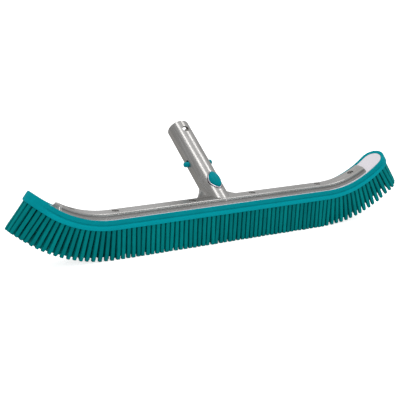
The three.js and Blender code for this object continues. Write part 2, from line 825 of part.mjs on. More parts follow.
function poolBrush() {
  const head = new THREE.Group();
  head.position.z = tipDrop;
  head.add(backBarAndHandle(), corePlate(), rubberRim(), ...fingerPads());
  screwStations.forEach((s, i) => head.add(screw(`head_screw_${i + 1}`, s)));
  const handle = new THREE.Group();
  handle.position.set(0, handleSetback, barTopHeight);
  handle.rotation.x = tilt;
  handle.add(bezel(), releaseButton(), clipHeel());
  handle.add(clipArm("clip_arm_left", -1), clipArm("clip_arm_right", 1));
  head.add(handle);
  const brush = new THREE.Group();
  brush.add(head);
  return brush;
}

export default poolBrush();
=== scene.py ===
import json
import math
import random

import bmesh
import bpy
from bpy.props import FloatProperty, FloatVectorProperty, IntProperty, PointerProperty
from bpy.types import Operator, Panel, PropertyGroup
from mathutils import Matrix, Vector


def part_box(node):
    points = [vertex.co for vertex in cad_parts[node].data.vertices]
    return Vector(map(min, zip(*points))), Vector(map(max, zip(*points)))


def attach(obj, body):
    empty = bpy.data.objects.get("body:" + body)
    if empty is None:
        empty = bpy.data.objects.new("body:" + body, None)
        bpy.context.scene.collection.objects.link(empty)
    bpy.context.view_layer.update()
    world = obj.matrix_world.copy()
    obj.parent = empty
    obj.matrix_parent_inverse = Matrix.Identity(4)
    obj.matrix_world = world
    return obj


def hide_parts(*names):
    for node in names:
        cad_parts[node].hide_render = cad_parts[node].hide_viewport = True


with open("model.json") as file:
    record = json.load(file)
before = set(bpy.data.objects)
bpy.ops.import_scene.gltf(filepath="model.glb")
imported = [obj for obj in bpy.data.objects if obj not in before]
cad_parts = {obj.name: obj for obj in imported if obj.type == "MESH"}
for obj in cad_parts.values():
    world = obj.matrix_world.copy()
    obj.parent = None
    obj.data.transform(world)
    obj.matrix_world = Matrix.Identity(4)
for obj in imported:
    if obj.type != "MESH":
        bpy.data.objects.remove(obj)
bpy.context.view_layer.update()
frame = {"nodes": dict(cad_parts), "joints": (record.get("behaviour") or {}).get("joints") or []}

bl_info = {
    "name": "Pool wall brush",
    "version": (1, 0, 0),
    "blender": (4, 5, 0),
    "location": "3D View > Sidebar > Wall brush",
    "description": "Builds a curved pool wall brush with rubber fingers and a clip handle",
    "category": "Add Mesh",
}

BODY = "brush_body"
SEAT_GAP = 0.0003
SLIDE_GAP = 0.0004
OVERRUN = 0.002
FULL_TURN = 2 * math.pi
QUARTER_TURN = math.pi / 2
RIM_LOW, RIM_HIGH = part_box("rubber_rim")
SCREW_SHARES = (0.19413, 0.65289, 0.9152)

# Linear colours of the painted shade on the bar and in the screws' recesses, the metal's edge tint and the
# floor's own glow

# Painted shade for the line under the bar's top edge and for the bar's lower sides
PAINTED_SHADE_GREY = (0.14, 0.14, 0.14)
SOFT_EDGE_TINT = (0.75, 0.75, 0.75)
# Painted shade deep in the screws' recesses
RECESS_PAINTED_SHADE = (0.02, 0.019, 0.018)
FLOOR_GLOW = (0.76, 0.76, 0.76)


# Settings that a user would change

def size(name, description, default):
    """A length in metres, shown in the sidebar."""
    return FloatProperty(name=name, description=description, default=default, unit="LENGTH", precision=4)


def angle(name, description, degrees):
    """An angle, given in degrees and kept in radians."""
    return FloatProperty(name=name, description=description, default=math.radians(degrees), subtype="ANGLE")


def share(name, description, default):
    """A plain number, mostly from 0 to 1."""
    return FloatProperty(name=name, description=description, default=default, precision=3)


def linear(red, green, blue):
    """Turns a colour from 0 to 255, as a screen shows it, into the linear values that shaders use."""
    found = []
    for value in (red, green, blue):
        part = value / 255
        found.append(part / 12.92 if part <= 0.04045 else ((part + 0.055) / 1.055) ** 2.4)
    return tuple(found)


def colour(name, description, red, green, blue):
    """A colour, given from 0 to 255 as a screen shows it."""
    default = linear(red, green, blue)
    return FloatVectorProperty(
        name=name, description=description, default=default, subtype="COLOR", min=0, max=1)


class HeadSizes(PropertyGroup):
    """Sizes of the curved head: rim, core plate and cast bar."""

    half_length: size("Half length", "Half of the rim's length along its curve", 0.262)
    flat_half: size("Straight half", "Half of the length of the straight middle", 0.153)
    bend_radius: size("Bend radius", "Radius of the bend near each end", 0.133)
    bend_angle: angle("Bend angle", "How far each end is bent up", 37.3)
    rim_half_width: size("Rim half width", "Half of the rim's width", RIM_HIGH.y)
    rim_height: size("Rim height", "Height of the rim", 0.0111)
    rim_top_inset: size("Rim top inset", "How much narrower the rim is at its top", 0.0008)
    rim_lip_rise: size("Rim lip rise", "How far the rim's lip rises above the core plate", 0.0010)
    rim_groove_height: size("Rim groove height", "Depth of the groove below the rim's top", 0.00475)
    rim_groove_depth: size("Rim groove depth", "How deep the groove is cut", 0.0007)
    rim_wall: size("Rim wall", "Thickness of the rim below the core plate", 0.0017)
    fade_start: size("Fade start", "Where the groove starts to fade, along the curve from the middle", 0.230)
    fade_end: size("Fade end", "Where the groove has faded out", 0.256)
    core_half_width: size("Core half width", "Half of the core plate's width", 0.0142)
    core_thickness: size("Core thickness", "Thickness of the core plate", 0.0030)
    core_flange: size("Core flange", "How far the plate's flange reaches into the rim", 0.0019)
    core_boss_length: size("Core boss length", "Length of the bosses under the core plate", 0.0053)
    core_boss_radius: size("Core boss radius", "Radius of the bosses under the core plate", 0.0042)
    bar_half_length: size("Bar half length", "Half of the cast bar's length along its curve", 0.225)
    bar_height: size("Bar height", "Height of the cast bar above the core plate", 0.0062)
    bar_top_half: size("Bar top half width", "Half of the width of the bar's flat top", 0.0087)
    bar_base_half: size("Bar base half width", "Half of the width of the bar's foot", 0.0120)
    bar_edge_round: size("Bar edge radius", "Radius of the bar's long top edges", 0.0017)
    bar_corner_round: size("Bar corner radius", "Radius of the bar's corners, seen from above", 0.0040)
    bar_roof: size("Bar roof", "Thickness of the bar's top wall", 0.0025)
    bar_wall: size("Bar wall", "Thickness of the bar's side walls", 0.0020)
    bar_boss_radius: size("Bar boss radius", "Radius of the bosses under the bar", 0.0058)


class HandleSizes(PropertyGroup):
    """Sizes of the tubular handle, its button and its clip."""

    lean: angle("Lean", "How far the handle leans back from square", 56.8)
    setback: size("Setback", "Distance of the handle's axis behind the bar's middle", 0.0205)
    radius: size("Tube radius", "Outer radius of the tube", 0.0145)
    wall: size("Tube wall", "Wall thickness of the tube", 0.0024)
    length: size("Tube length", "Length of the tube from the bar's top", 0.113)
    hole_radius: size("Hole radius", "Radius of the hole near the open end", 0.0045)
    hole_from_end: size("Hole from end", "Distance of that hole from the open end", 0.015)
    foot_drop: size("Foot drop", "How far the foot's web reaches below the bar's top", 0.0044)
    foot_edge_drop: size("Foot edge drop", "How far the hollow's edge lies below the bar's top", 0.0024)
    foot_height: size("Foot height", "Height of the foot's hollow", 0.0030)
    foot_half_width: size("Foot half width", "Half of the distance between the foot's two tips", 0.036)
    foot_tip: size("Foot tip place", "Distance of the tips behind the bar's middle", 0.005)
    foot_front: size("Foot front", "How far the foot reaches in front of the bar's middle", 0.0075)
    foot_back: size("Foot back", "How far the foot reaches behind the bar's middle", 0.036)
    foot_back_half: size("Foot back half width", "Half of the foot's width at its back edge", 0.012)
    oval_setback: size("Oval setback", "Distance of the hollow's upper oval behind the bar's middle", 0.027)
    oval_depth: size("Oval depth", "Half of the depth of that oval", 0.018)
    button_station: size("Button place", "Distance of the button's middle up the handle", 0.0085)
    button_half_length: size("Button half length", "Half of the button's length", 0.0125)
    button_half_width: size("Button half width", "Half of the button's width", 0.0072)
    button_crown: size("Button crown", "How far the button's dome stands out of the tube", 0.0048)
    bezel_width: size("Bezel width", "Width of the bright collar at the button's lower tip", 0.0018)
    bezel_rise: size("Bezel rise", "How far the collar stands out of the tube", 0.0008)
    bezel_seat: size("Bezel seat", "How deep the collar is let into the tube", 0.0014)
    pin_station: size("Pin place", "Distance of the locking pins up the handle", 0.0495)
    pin_radius: size("Pin radius", "Radius of the locking pins", 0.0035)
    pin_reach: size("Pin reach", "How far the pins stand out of the tube", 0.0060)


class ClipSizes(PropertyGroup):
    """Sizes of the spring clip inside the handle."""

    hinge_station: size("Hinge place", "Distance of the arms' hinges up the handle", 0.0065)
    hinge_offset: size("Hinge offset", "Distance of the hinges from the handle's axis", 0.0032)
    end_offset: size("End offset", "Distance of the arms from the axis at the pins", 0.0088)
    arm_thickness: size("Arm thickness", "Thickness of an arm", 0.0028)
    arm_top: size("Arm top", "How far an arm reaches from the axis towards the button", 0.0015)
    arm_bottom: size("Arm bottom", "How far an arm reaches from the axis the other way", 0.003)
    boss_radius: size("Boss radius", "Radius of the boss under a pin", 0.0040)
    boss_length: size("Boss length", "Length of that boss", 0.0032)
    overshoot: size("Overshoot", "How far an arm reaches past its boss", 0.0015)


class FingerSizes(PropertyGroup):
    """Sizes of the rubber fingers."""

    pitch: size("Pitch", "Distance between the fingers of a row", 0.0064)
    end_pitch: size("End pitch", "The same distance on the bent ends", 0.0059)
    base: size("Base width", "Width of a finger at its root", 0.0046)
    tip: size("Tip width", "Width of a finger at its tip", 0.0043)
    root: size("Root", "Length of the flared root", 0.0014)
    nose: size("Nose", "Length over which the nose narrows on the bent ends", 0.006)
    tip_round: size("Tip radius", "Radius of the round tip", 0.0007)
    end_narrowing: size("End narrowing", "How much half of the nose narrows on the bent ends", 0.0005)
    outer_row: size("Outer row", "Distance of the outer rows from the middle", 0.0147)
    inner_row: size("Inner row", "Distance of the inner rows from the middle", 0.0072)
    pad_thickness: size("Pad thickness", "Thickness of the rubber backing", 0.0068)
    pad_membrane: size("Pad membrane", "Rubber left under the pockets for the bosses", 0.0015)
    lean: angle("Lean", "How far a finger may lean at random", 0.12)
    sway: size("Sway", "How far a finger's tip may bend aside at random", 0.00035)
    twist: angle("Twist", "How far a finger may twist at random", 3)
    seed: IntProperty(name="Seed", description="Start of the random draws", default=7)


class ScrewSizes(PropertyGroup):
    """Sizes of the screws that hold the bar to the core plate."""

    head_radius: size("Head radius", "Radius of a screw's head", 0.0038)
    head_height: size("Head height", "Height of a screw's head", 0.0023)
    shank_radius: size("Shank radius", "Radius of a screw's shank", 0.0019)
    length: size("Length", "Length of a screw under its head", 0.0114)
    sink: size("Sink", "How far a head lies below the bar's top", 0.0003)
    turn: angle("Turn", "How much further each next screw is turned", 23)


class Finishes(PropertyGroup):
    """Colours of the finishes."""

    metal: colour("Cast metal", "Satin aluminium casting", 187, 186, 185)
    metal_shade: colour("Cast metal shade", "Darker streaks of the casting", 167, 165, 162)
    bezel: colour("Bezel", "Bright plated collar", 236, 232, 240)
    bezel_shade: colour("Bezel shade", "Haze of the plating", 206, 202, 214)
    # Painted shadow along the collar's outer edge
    bezel_edge_painted_shadow: colour("Bezel edge", "Dark outer edge of the collar", 52, 46, 54)
    steel: colour("Steel", "Stainless screws", 168, 167, 164)
    steel_shade: colour("Steel shade", "Worn steel", 128, 126, 122)
    plate: colour("Core plate", "Near-white moulded plastic", 248, 244, 250)
    plate_shade: colour("Core plate shade", "Flow marks in the plate", 238, 234, 241)
    # The rim's colours: the lit one shows on its lower band, the shade one is painted shade in its groove
    # and on its upper band, and random clouds mix the two
    rim: colour("Rim rubber", "Teal rubber of the rim", 0, 171, 184)
    rim_painted_shade_and_clouds: colour("Rim shade", "Darker rubber in the rim's groove", 0, 142, 152)
    finger: colour("Finger rubber", "Teal rubber of the fingers", 0, 152, 153)
    finger_shade: colour("Finger shade", "Darker fingers", 0, 119, 122)
    button: colour("Button plastic", "Teal plastic of the button and pins", 0, 160, 178)
    button_shade: colour("Button shade", "Clouds in that plastic", 0, 138, 142)
    floor: colour("Floor", "Pale floor", 244, 244, 244)
    floor_shade: colour("Floor shade", "Specks of the floor", 240, 240, 240)
    floor_mirrored: colour("Mirrored floor", "The floor as the metal mirrors it", 196, 194, 191)


class StageSettings(PropertyGroup):
    """Camera, lamps and room."""

    azimuth: angle("Azimuth", "Camera's turn round the brush", 32.763)
    elevation: angle("Elevation", "Camera's height above the horizon", 18.222)
    roll: angle("Roll", "Camera's roll", 2.66)
    distance: size("Distance", "Camera's distance from its target", 1.15507)
    target_x: size("Target X", "Target of the camera along the head", -0.01284)
    target_z: size("Target Z", "Height of the camera's target", 0.01426)
    lens: share("Lens", "Focal length in millimetres on a 36 mm sensor", 83.925)
    shift_x: share("Shift X", "Sideways shift of the camera's frame", -0.0315)
    shift_y: share("Shift Y", "Upward shift of the camera's frame", 0.07175)
    top_light: share("Top light", "Brightness of the strip lamp overhead", 2.9)
    side_light: share("Side light", "Brightness of the narrow lamp to the upper right", 3.0)
    room_light: share("Room light", "Brightness of the room as it lights surfaces", 0.66)
    dark_side: share("Dark side", "Brightness of the room's dark side in the metal", 0.42)
    front_side: share("Front side", "Brightness of the room's front in the metal", 0.78)
    right_side: share("Right side", "Brightness of the room's right side in the metal", 0.72)


class WallBrush(PropertyGroup):
    """All the settings of the wall brush."""

    head: PointerProperty(type=HeadSizes)
    handle: PointerProperty(type=HandleSizes)
    clip: PointerProperty(type=ClipSizes)
    fingers: PointerProperty(type=FingerSizes)
    screws: PointerProperty(type=ScrewSizes)
    finishes: PointerProperty(type=Finishes)
    stage: PointerProperty(type=StageSettings)


# Shader maths

class Signal:
    """A node's output, so that maths on it reads as Python and adds its Math nodes."""

    def __init__(self, graph, socket):
        self.graph = graph
        self.socket = socket

    def maths(self, operation, first, second):
        """Adds one Math node."""
        return self.graph.add("ShaderNodeMath", {0: first, 1: second}, operation=operation)

    def __add__(self, other):
        return self.maths("ADD", self, other)

    def __sub__(self, other):
        return self.maths("SUBTRACT", self, other)

    def __rsub__(self, other):
        return self.maths("SUBTRACT", other, self)

    def __mul__(self, other):
        return self.maths("MULTIPLY", self, other)


class Graph:
    """A node tree that is being filled."""

    def __init__(self, tree):
        self.tree = tree
        self.tree.nodes.clear()

    def add(self, kind, inputs=None, output=0, **settings):
        """Adds a node with its settings first, then its sockets' values or links, and gives one output."""
        node = self.tree.nodes.new(kind)
        for name, value in settings.items():
            setattr(node, name, value)
        for name, value in (inputs or {}).items():
            socket = node.inputs[name]
            if isinstance(value, Signal):
                self.tree.links.new(value.socket, socket)
            elif socket.type == "RGBA":
                socket.default_value = (*value[:3], 1)
            else:
                socket.default_value = value
        return Signal(self, node.outputs[output]) if len(node.outputs) else None

    def stretch(self, vector, factors):
        """Scales a vector by three factors."""
        return self.add("ShaderNodeVectorMath", {0: vector, 1: factors}, operation="MULTIPLY")

    def noise(self, vector, scale=1.0, detail=3.0):
        """Smooth noise from 0 to 1 with a mean of about a half."""
        return self.add("ShaderNodeTexNoise", {"Vector": vector, "Scale": scale, "Detail": detail})

    def step(self, value, low, high, first=0.0, second=1.0):
        """Runs smoothly from one number to another as the value goes from low to high."""
        inputs = {"Value": value, "From Min": low, "From Max": high, "To Min": first, "To Max": second}
        return self.add("ShaderNodeMapRange", inputs, interpolation_type="SMOOTHSTEP")

    def blend(self, first, second, second_share):
        """Weighs two numbers against each other."""
        return first * (1 - second_share) + second * second_share

    def grow(self, value, base, extra):
        """A number that grows by the extra as the value goes from 0 to 1."""
        return value * extra + base

    def mix(self, factor, first, second):
        """Mixes two colours; the Mix node keeps its colour sockets after those for numbers."""
        factor_socket, first_socket, second_socket, result_socket = 0, 6, 7, 2
        inputs = {factor_socket: factor, first_socket: first, second_socket: second}
        return self.add("ShaderNodeMix", inputs, result_socket, data_type="RGBA")

    def attribute(self, name, output="Fac"):
        """Reads a value that the mesh carries."""
        return self.add("ShaderNodeAttribute", output=output, attribute_name=name)

    def place(self):
        """The place on the object, in metres."""
        return self.add("ShaderNodeTexCoord", output="Object")

    def ray(self, kind):
        """1 for one kind of ray and 0 for the others."""
        return self.add("ShaderNodeLightPath", output=f"Is {kind} Ray")

    def seen(self):
        """1 where the camera looks straight at a thing or through a clear one."""
        camera = self.ray("Camera")
        return camera.maths("MAXIMUM", camera, self.ray("Transmission"))

    def bump(self, height, strength, distance=0.0002):
        """Turns a height into a normal."""
        inputs = {"Height": height, "Strength": strength, "Distance": distance}
        return self.add("ShaderNodeBump", inputs)

    def surface(self, inputs):
        """Ends a material with a Principled shader."""
        shader = self.add("ShaderNodeBsdfPrincipled", inputs)
        self.add("ShaderNodeOutputMaterial", {"Surface": shader})


def new_material(name):
    """A material and its empty graph."""
    material = bpy.data.materials.new(name)
    material.use_nodes = True
    return material, Graph(material.node_tree)


def cast_metal(finishes):
    """Satin aluminium: fine streaks along the bar and the handle, soft clouds, a pitted skin and painted
    shade along the bar's sides.
    """
    material, graph = new_material("satin_casting")
    grain = graph.attribute("grain", "Vector")
    streaks = graph.noise(graph.stretch(grain, factors=(14, 620, 620)), detail=4.0)
    clouds = graph.noise(graph.stretch(grain, factors=(22, 60, 60)), detail=2.0)
    pits = graph.noise(grain, scale=1900.0, detail=2.0)
    tone = graph.step(graph.blend(streaks, clouds, second_share=0.3), low=0.36, high=0.64)
    clean = graph.mix(tone, finishes.metal_shade, finishes.metal)
    graph.surface({
        # Painted shade: the attribute darkens the line under the bar's top edge and the sides towards the
        # foot
        "Base Color": graph.mix(graph.attribute("painted_shade"), clean, PAINTED_SHADE_GREY),
        "Metallic": 0.82,
        "Roughness": graph.grow(streaks, base=0.19, extra=0.14),
        "Specular Tint": SOFT_EDGE_TINT,
        "Normal": graph.bump(graph.blend(streaks, pits, second_share=0.3), strength=0.12),
    })
    return material


def bright_metal(finishes):
    """Plated collar with a faint haze and a painted shadow on its outer edge."""
    material, graph = new_material("bright_plating")
    haze = graph.noise(graph.place(), scale=420.0)
    plated = graph.mix(haze, finishes.bezel, finishes.bezel_shade)
    graph.surface({
        # Painted shadow on the collar's outer edge, where the attribute is 1
        "Base Color": graph.mix(graph.attribute("painted_shade"), plated, finishes.bezel_edge_painted_shadow),
        "Metallic": 1.0,
        "Roughness": graph.grow(haze, base=0.12, extra=0.12),
        "Normal": graph.bump(haze, strength=0.06),
    })
    return material


def screw_steel(finishes):
    """Stainless steel with fine wear and painted shade in its recess."""
    material, graph = new_material("screw_steel")
    wear = graph.noise(graph.place(), scale=900.0)
    clean = graph.mix(wear, finishes.steel, finishes.steel_shade)
    graph.surface({
        # Painted shade deep in the recess
        "Base Color": graph.mix(graph.attribute("painted_shade"), clean, RECESS_PAINTED_SHADE),
        "Metallic": 1.0,
        "Roughness": graph.grow(wear, base=0.25, extra=0.2),
        "Normal": graph.bump(wear, strength=0.15),
    })
    return material


def pale_plastic(finishes):
    """Near-white moulded plastic with faint flow marks."""
    material, graph = new_material("pale_plastic")
    place = graph.place()
    flow = graph.noise(graph.stretch(place, factors=(30, 90, 90)))
    skin = graph.noise(place, scale=1500.0, detail=2.0)
    graph.surface({
        "Base Color": graph.mix(flow, finishes.plate, finishes.plate_shade),
        "Roughness": graph.grow(flow, base=0.36, extra=0.16),
        "Normal": graph.bump(skin, strength=0.12, distance=0.0001),
    })
    return material


def teal_rubber(name, light, shade, roughness, flow_factors):
    """Moulded rubber: soft clouds of tone, flow marks, a fine matt skin and the tones the mesh carries,
    which are painted light and shade on the rim and random on the fingers.
    """
    material, graph = new_material(name)
    place = graph.place()
    clouds = graph.noise(place, scale=60.0, detail=2.0)
    flow = graph.noise(graph.stretch(place, flow_factors))
    skin = graph.noise(place, scale=1700.0, detail=2.0)
    cloudiness = 0.5
    # On the rim the tone attribute is painted light and shade; on the fingers it is a random tone for each
    # finger
    lightness = (clouds + flow - 1) * cloudiness + graph.attribute("tone")
    graph.surface({
        "Base Color": graph.mix(lightness, shade, light),
        "Roughness": graph.grow(flow, base=roughness, extra=0.14),
        "Specular IOR Level": 0.03,
        "Normal": graph.bump(graph.blend(skin, flow, second_share=0.6), strength=0.16),
    })
    return material


def teal_plastic(finishes):
    """Semi-gloss moulded plastic of the button and the clip."""
    material, graph = new_material("teal_plastic")
    place = graph.place()
    clouds = graph.noise(place, scale=160.0, detail=2.0)
    skin = graph.noise(place, scale=1500.0, detail=2.0)
    graph.surface({
        "Base Color": graph.mix(clouds, finishes.button, finishes.button_shade),
        "Roughness": graph.grow(clouds, base=0.22, extra=0.12),
        "Specular IOR Level": 0.04,
        "Normal": graph.bump(skin, strength=0.08, distance=0.0001),
    })
    return material


# Mesh helpers

class Shape:
    """Points and faces that are gathered for one mesh."""

    def __init__(self):
        self.points = []
        self.faces = []

    def loft(self, rings, looped=False):
        """Joins rings of points into a closed skin; open ends are capped."""
        start = len(self.points)
        count = len(rings[0])
        for ring in rings:
            self.points.extend(ring)
        spans = len(rings) if looped else len(rings) - 1
        for i in range(spans):
            here = start + i * count
            there = start + ((i + 1) % len(rings)) * count
            for k in range(count):
                turn = (k + 1) % count
                self.faces.append((here + k, here + turn, there + turn, there + k))
        if not looped:
            last = start + (len(rings) - 1) * count
            self.faces.append(tuple(range(start + count - 1, start - 1, -1)))
            self.faces.append(tuple(range(last, last + count)))
        return self

    def moved(self, matrix):
        """Moves all points by a matrix."""
        self.points = [matrix @ Vector(point) for point in self.points]
        return self


def new_object(name, shape):
    """An object whose faces point out."""
    mesh = bpy.data.meshes.new(name)
    mesh.from_pydata([tuple(point) for point in shape.points], [], shape.faces)
    work = bmesh.new()
    work.from_mesh(mesh)
    bmesh.ops.recalc_face_normals(work, faces=work.faces)
    work.to_mesh(mesh)
    work.free()
    made = bpy.data.objects.new(name, mesh)
    bpy.context.scene.collection.objects.link(made)
    return made


def carve(target, shape, operation="DIFFERENCE"):
    """Joins a shape to an object, or cuts it away."""
    tool = new_object("tool", shape)
    modifier = target.modifiers.new("carve", "BOOLEAN")
    modifier.operation = operation
    modifier.solver = "EXACT"
    modifier.object = tool
    graph = bpy.context.evaluated_depsgraph_get()
    old_mesh, tool_mesh = target.data, tool.data
    target.data = bpy.data.meshes.new_from_object(target.evaluated_get(graph))
    target.modifiers.clear()
    bpy.data.objects.remove(tool)
    for mesh in (old_mesh, tool_mesh):
        bpy.data.meshes.remove(mesh)


def smooth(made, crease=31, weighted=False):
    """Smooth shading, with sharp edges where the faces turn by more degrees than the crease."""
    mesh = made.data
    mesh.polygons.foreach_set("use_smooth", [True] * len(mesh.polygons))
    mesh.set_sharp_from_angle(angle=math.radians(crease))
    if weighted:
        modifier = made.modifiers.new("even_normals", "WEIGHTED_NORMAL")
        modifier.keep_sharp = True
    return made


def finish_piece(made, material, nodes, body=BODY):
    """Gives a piece its material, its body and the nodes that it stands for."""
    made.data.materials.clear()
    made.data.materials.append(material)
    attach(made, body)
    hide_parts(*nodes)


def store(made, name, values, kind="FLOAT"):
    """Keeps a value for each point of a mesh, for a material to read."""
    attribute = made.data.attributes.new(name, kind, "POINT")
    if kind == "FLOAT_VECTOR":
        attribute.data.foreach_set("vector", [part for value in values for part in value])
    else:
        attribute.data.foreach_set("value", values)


def paint(made, name, value_at, kind="FLOAT"):
    """Keeps a value that is worked out from each point's place."""
    store(made, name, [value_at(vertex.co) for vertex in made.data.vertices], kind)


def limit(value):
    """Keeps a number from 0 to 1."""
    return min(max(value, 0.0), 1.0)


def arc(centre, radius, start, end, steps):
    """Points on an arc in a plane, with angles in degrees from the first axis."""
    found = []
    for i in range(steps + 1):
        turn = math.radians(start + (end - start) * i / steps)
        found.append((centre[0] + radius * math.cos(turn), centre[1] + radius * math.sin(turn)))
    return found


def ellipse_arc(centre, radii, start, end, steps):
    """Points on an arc of an ellipse, with angles in degrees from the first axis."""
    unit = arc((0, 0), 1, start, end, steps)
    return [(centre[0] + radii[0] * x, centre[1] + radii[1] * y) for x, y in unit]


def circle(radius, sides):
    """Evenly spaced points on a circle round the origin."""
    turns = [FULL_TURN * k / sides for k in range(sides)]
    return [(radius * math.cos(turn), radius * math.sin(turn)) for turn in turns]


class Back:
    """The curved back: s runs along it, y across it and h up from the core plate's top."""

    step = 0.004
    last_turn = 0.985 * QUARTER_TURN

    def __init__(self, head):
        self.head = head
        self.flat = head.flat_half
        self.radius = head.bend_radius
        self.bend = head.bend_radius * head.bend_angle
        self.top = RIM_LOW.z + head.rim_height
        self.end_centre = head.half_length - head.rim_half_width

    def slope(self, s):
        """The back's slope at a station."""
        past = min(max(abs(s) - self.flat, 0), self.bend)
        return math.copysign(past / self.radius, s)

    def point(self, s, y, h):
        """The point at a station, across and above."""
        slope = abs(self.slope(s))
        tail = max(0, abs(s) - self.flat - self.bend)
        x = min(abs(s), self.flat) + self.radius * math.sin(slope) + tail * math.cos(slope)
        z = self.radius * (1 - math.cos(slope)) + tail * math.sin(slope)
        side = math.copysign(1, s)
        return Vector((side * (x - h * math.sin(slope)), y, self.top + z + h * math.cos(slope)))

    def place(self, s, y=0.0):
        """A frame on the back: X along it and Z square to it."""
        return Matrix.Translation(self.point(s, y, 0)) @ Matrix.Rotation(-self.slope(s), 4, "Y")

    def unroll(self, point):
        """Station, across and height of a point: the reverse of point()."""
        x = abs(point.x) - self.flat
        z = point.z - self.top - self.radius
        turn = math.atan2(x, -z)
        if turn <= 0:
            s, h = abs(point.x), z + self.radius
        elif turn < self.head.bend_angle:
            s, h = self.flat + self.radius * turn, self.radius - math.hypot(x, z)
        else:
            cosine, sine = math.cos(self.head.bend_angle), math.sin(self.head.bend_angle)
            s = self.flat + self.bend + x * cosine + z * sine
            h = self.radius - x * sine + z * cosine
        return math.copysign(s, point.x), point.y, h

    def stations(self, start, end):
        """Evenly spaced stations from start to end."""
        count = max(1, round((end - start) / self.step))
        return [start + (end - start) * i / count for i in range(count + 1)]

    def plate(self, outline, end, round_ends=True, steps=16):
        """A bent plate with flat or round ends, from half widths and heights."""
        rings = []

        def ring(s, sine, cosine):
            right = [self.point(s + w * sine, w * cosine, h) for w, h in outline]
            left = [self.point(s + w * sine, -w * cosine, h) for w, h in outline]
            rings.append(right + left[::-1])

        turns = [self.last_turn * i / steps for i in range(1, steps + 1)] if round_ends else []
        for turn in turns[::-1]:
            ring(-end, -math.sin(turn), math.cos(turn))
        for s in self.stations(-end, end):
            ring(s, 0, 1)
        for turn in turns:
            ring(end, math.sin(turn), math.cos(turn))
        return Shape().loft(rings)

    def loop(self, section_at, steps=28):
        """A bent ring round both ends; its section is asked for at each station."""
        rings = []

        def ring(s, sine, cosine):
            section = section_at(s + self.head.rim_half_width * sine)
            rings.append([self.point(s + w * sine, w * cosine, h) for w, h in section])

        run = self.stations(-self.end_centre, self.end_centre)
        for side in (1, -1):
            for s in run[::side]:
                ring(s, 0, side)
            for i in range(1, steps):
                turn = math.pi * i / steps
                ring(side * self.end_centre, side * math.sin(turn), side * math.cos(turn))
        return Shape().loft(rings, looped=True)

    def post(self, shape, radius, low, high, s, sides=40):
        """Adds a round post square to the back."""
        place = self.place(s)
        shape.loft([[place @ Vector((x, y, h)) for x, y in circle(radius, sides)] for h in (low, high)])


def screw_stations(head):
    """Where the screws are, from the left end to the right."""
    right = [part * head.bar_half_length for part in SCREW_SHARES]
    return sorted([-s for s in right] + right)


# Rubber rim

def end_share(head, s):
    """Runs from 0 to 1 where the rim's groove fades out towards each end."""
    part = limit((abs(s) - head.fade_start) / (head.fade_end - head.fade_start))
    return part * part * (3 - 2 * part)


def rim_section(head, fade):
    """The rim's section: domed lip, upper band, groove, bulging lower band and inner wall."""
    edge, soft, swell, dome_steps = 0.0011, 0.0003, 0.0002, 7
    groove_half, groove_land, groove_step, bulge_depth = 0.0010, 0.0012, 0.0005, 0.0014
    wide = head.rim_half_width
    top = wide - head.rim_top_inset * (1 - fade)
    upper = top + swell * (1 - fade)
    lip = head.core_half_width + SEAT_GAP
    slot = lip + head.core_flange
    inner = wide - head.rim_wall
    groove = -head.rim_groove_height
    band_top = groove - groove_step
    bottom = -head.rim_height
    flange_top = -head.core_thickness / 2 + SEAT_GAP
    pad_top = -head.core_thickness
    crest = top - edge
    section = [(lip, -soft)]
    for i in range(dome_steps):
        part = i / dome_steps
        rise = head.rim_lip_rise * math.sin(part * QUARTER_TURN)
        section.append((lip + swell + (crest - lip) * part, rise))
    section += arc((crest, head.rim_lip_rise - edge), edge, start=90, end=4, steps=7)
    section += [(upper, groove / 2), (upper, groove + groove_land)]
    hollow = (head.rim_groove_depth * (1 - fade), groove_half)
    section += ellipse_arc((upper, groove), hollow, start=90, end=270, steps=8)[1:5]
    bulge = (band_top + bottom) / 2
    swelling = (bulge_depth, (band_top - bottom) / 2)
    band = ellipse_arc((wide - bulge_depth, bulge), swelling, start=80, end=-78, steps=14)
    section += [(x + (wide - x) * fade * (h > bulge), h) for x, h in band]
    section += [(inner + soft, bottom), (inner, bottom + soft)]
    section += [(inner, pad_top), (slot, pad_top), (slot, flange_top), (lip, flange_top)]
    return section


def make_rim(settings):
    """The teal band round the head, with painted light on its lower band and painted shade in its groove."""
    head, finishes = settings.head, settings.finishes
    back = Back(head)
    shape = back.loop(lambda s: rim_section(head, end_share(head, s)))
    made = smooth(new_object("rim", shape), weighted=True)
    groove, soft = -head.rim_groove_height, 0.0009
    upper_tone, lower_painted_light, groove_painted_shade, end_tone = 0.42, 0.58, 0.5, 0.46

    # Painted light and shade: lighter lower band, darker upper band, darkest groove, fading to an even tone
    # at the ends
    def tone(point):
        s, _, height = back.unroll(point)
        fade = end_share(head, s)
        in_groove = max(0.0, 1 - abs(height - groove + soft / 4) / soft)
        below = limit((groove - height) / soft)
        return (upper_tone + lower_painted_light * below - groove_painted_shade * in_groove) * (1 - fade) + end_tone * fade

    paint(made, "tone", tone)
    material = teal_rubber(
        "rim_rubber", finishes.rim, finishes.rim_painted_shade_and_clouds, roughness=0.42, flow_factors=(40, 300, 300))
    finish_piece(made, material, ["rubber_rim"])


# Core plate

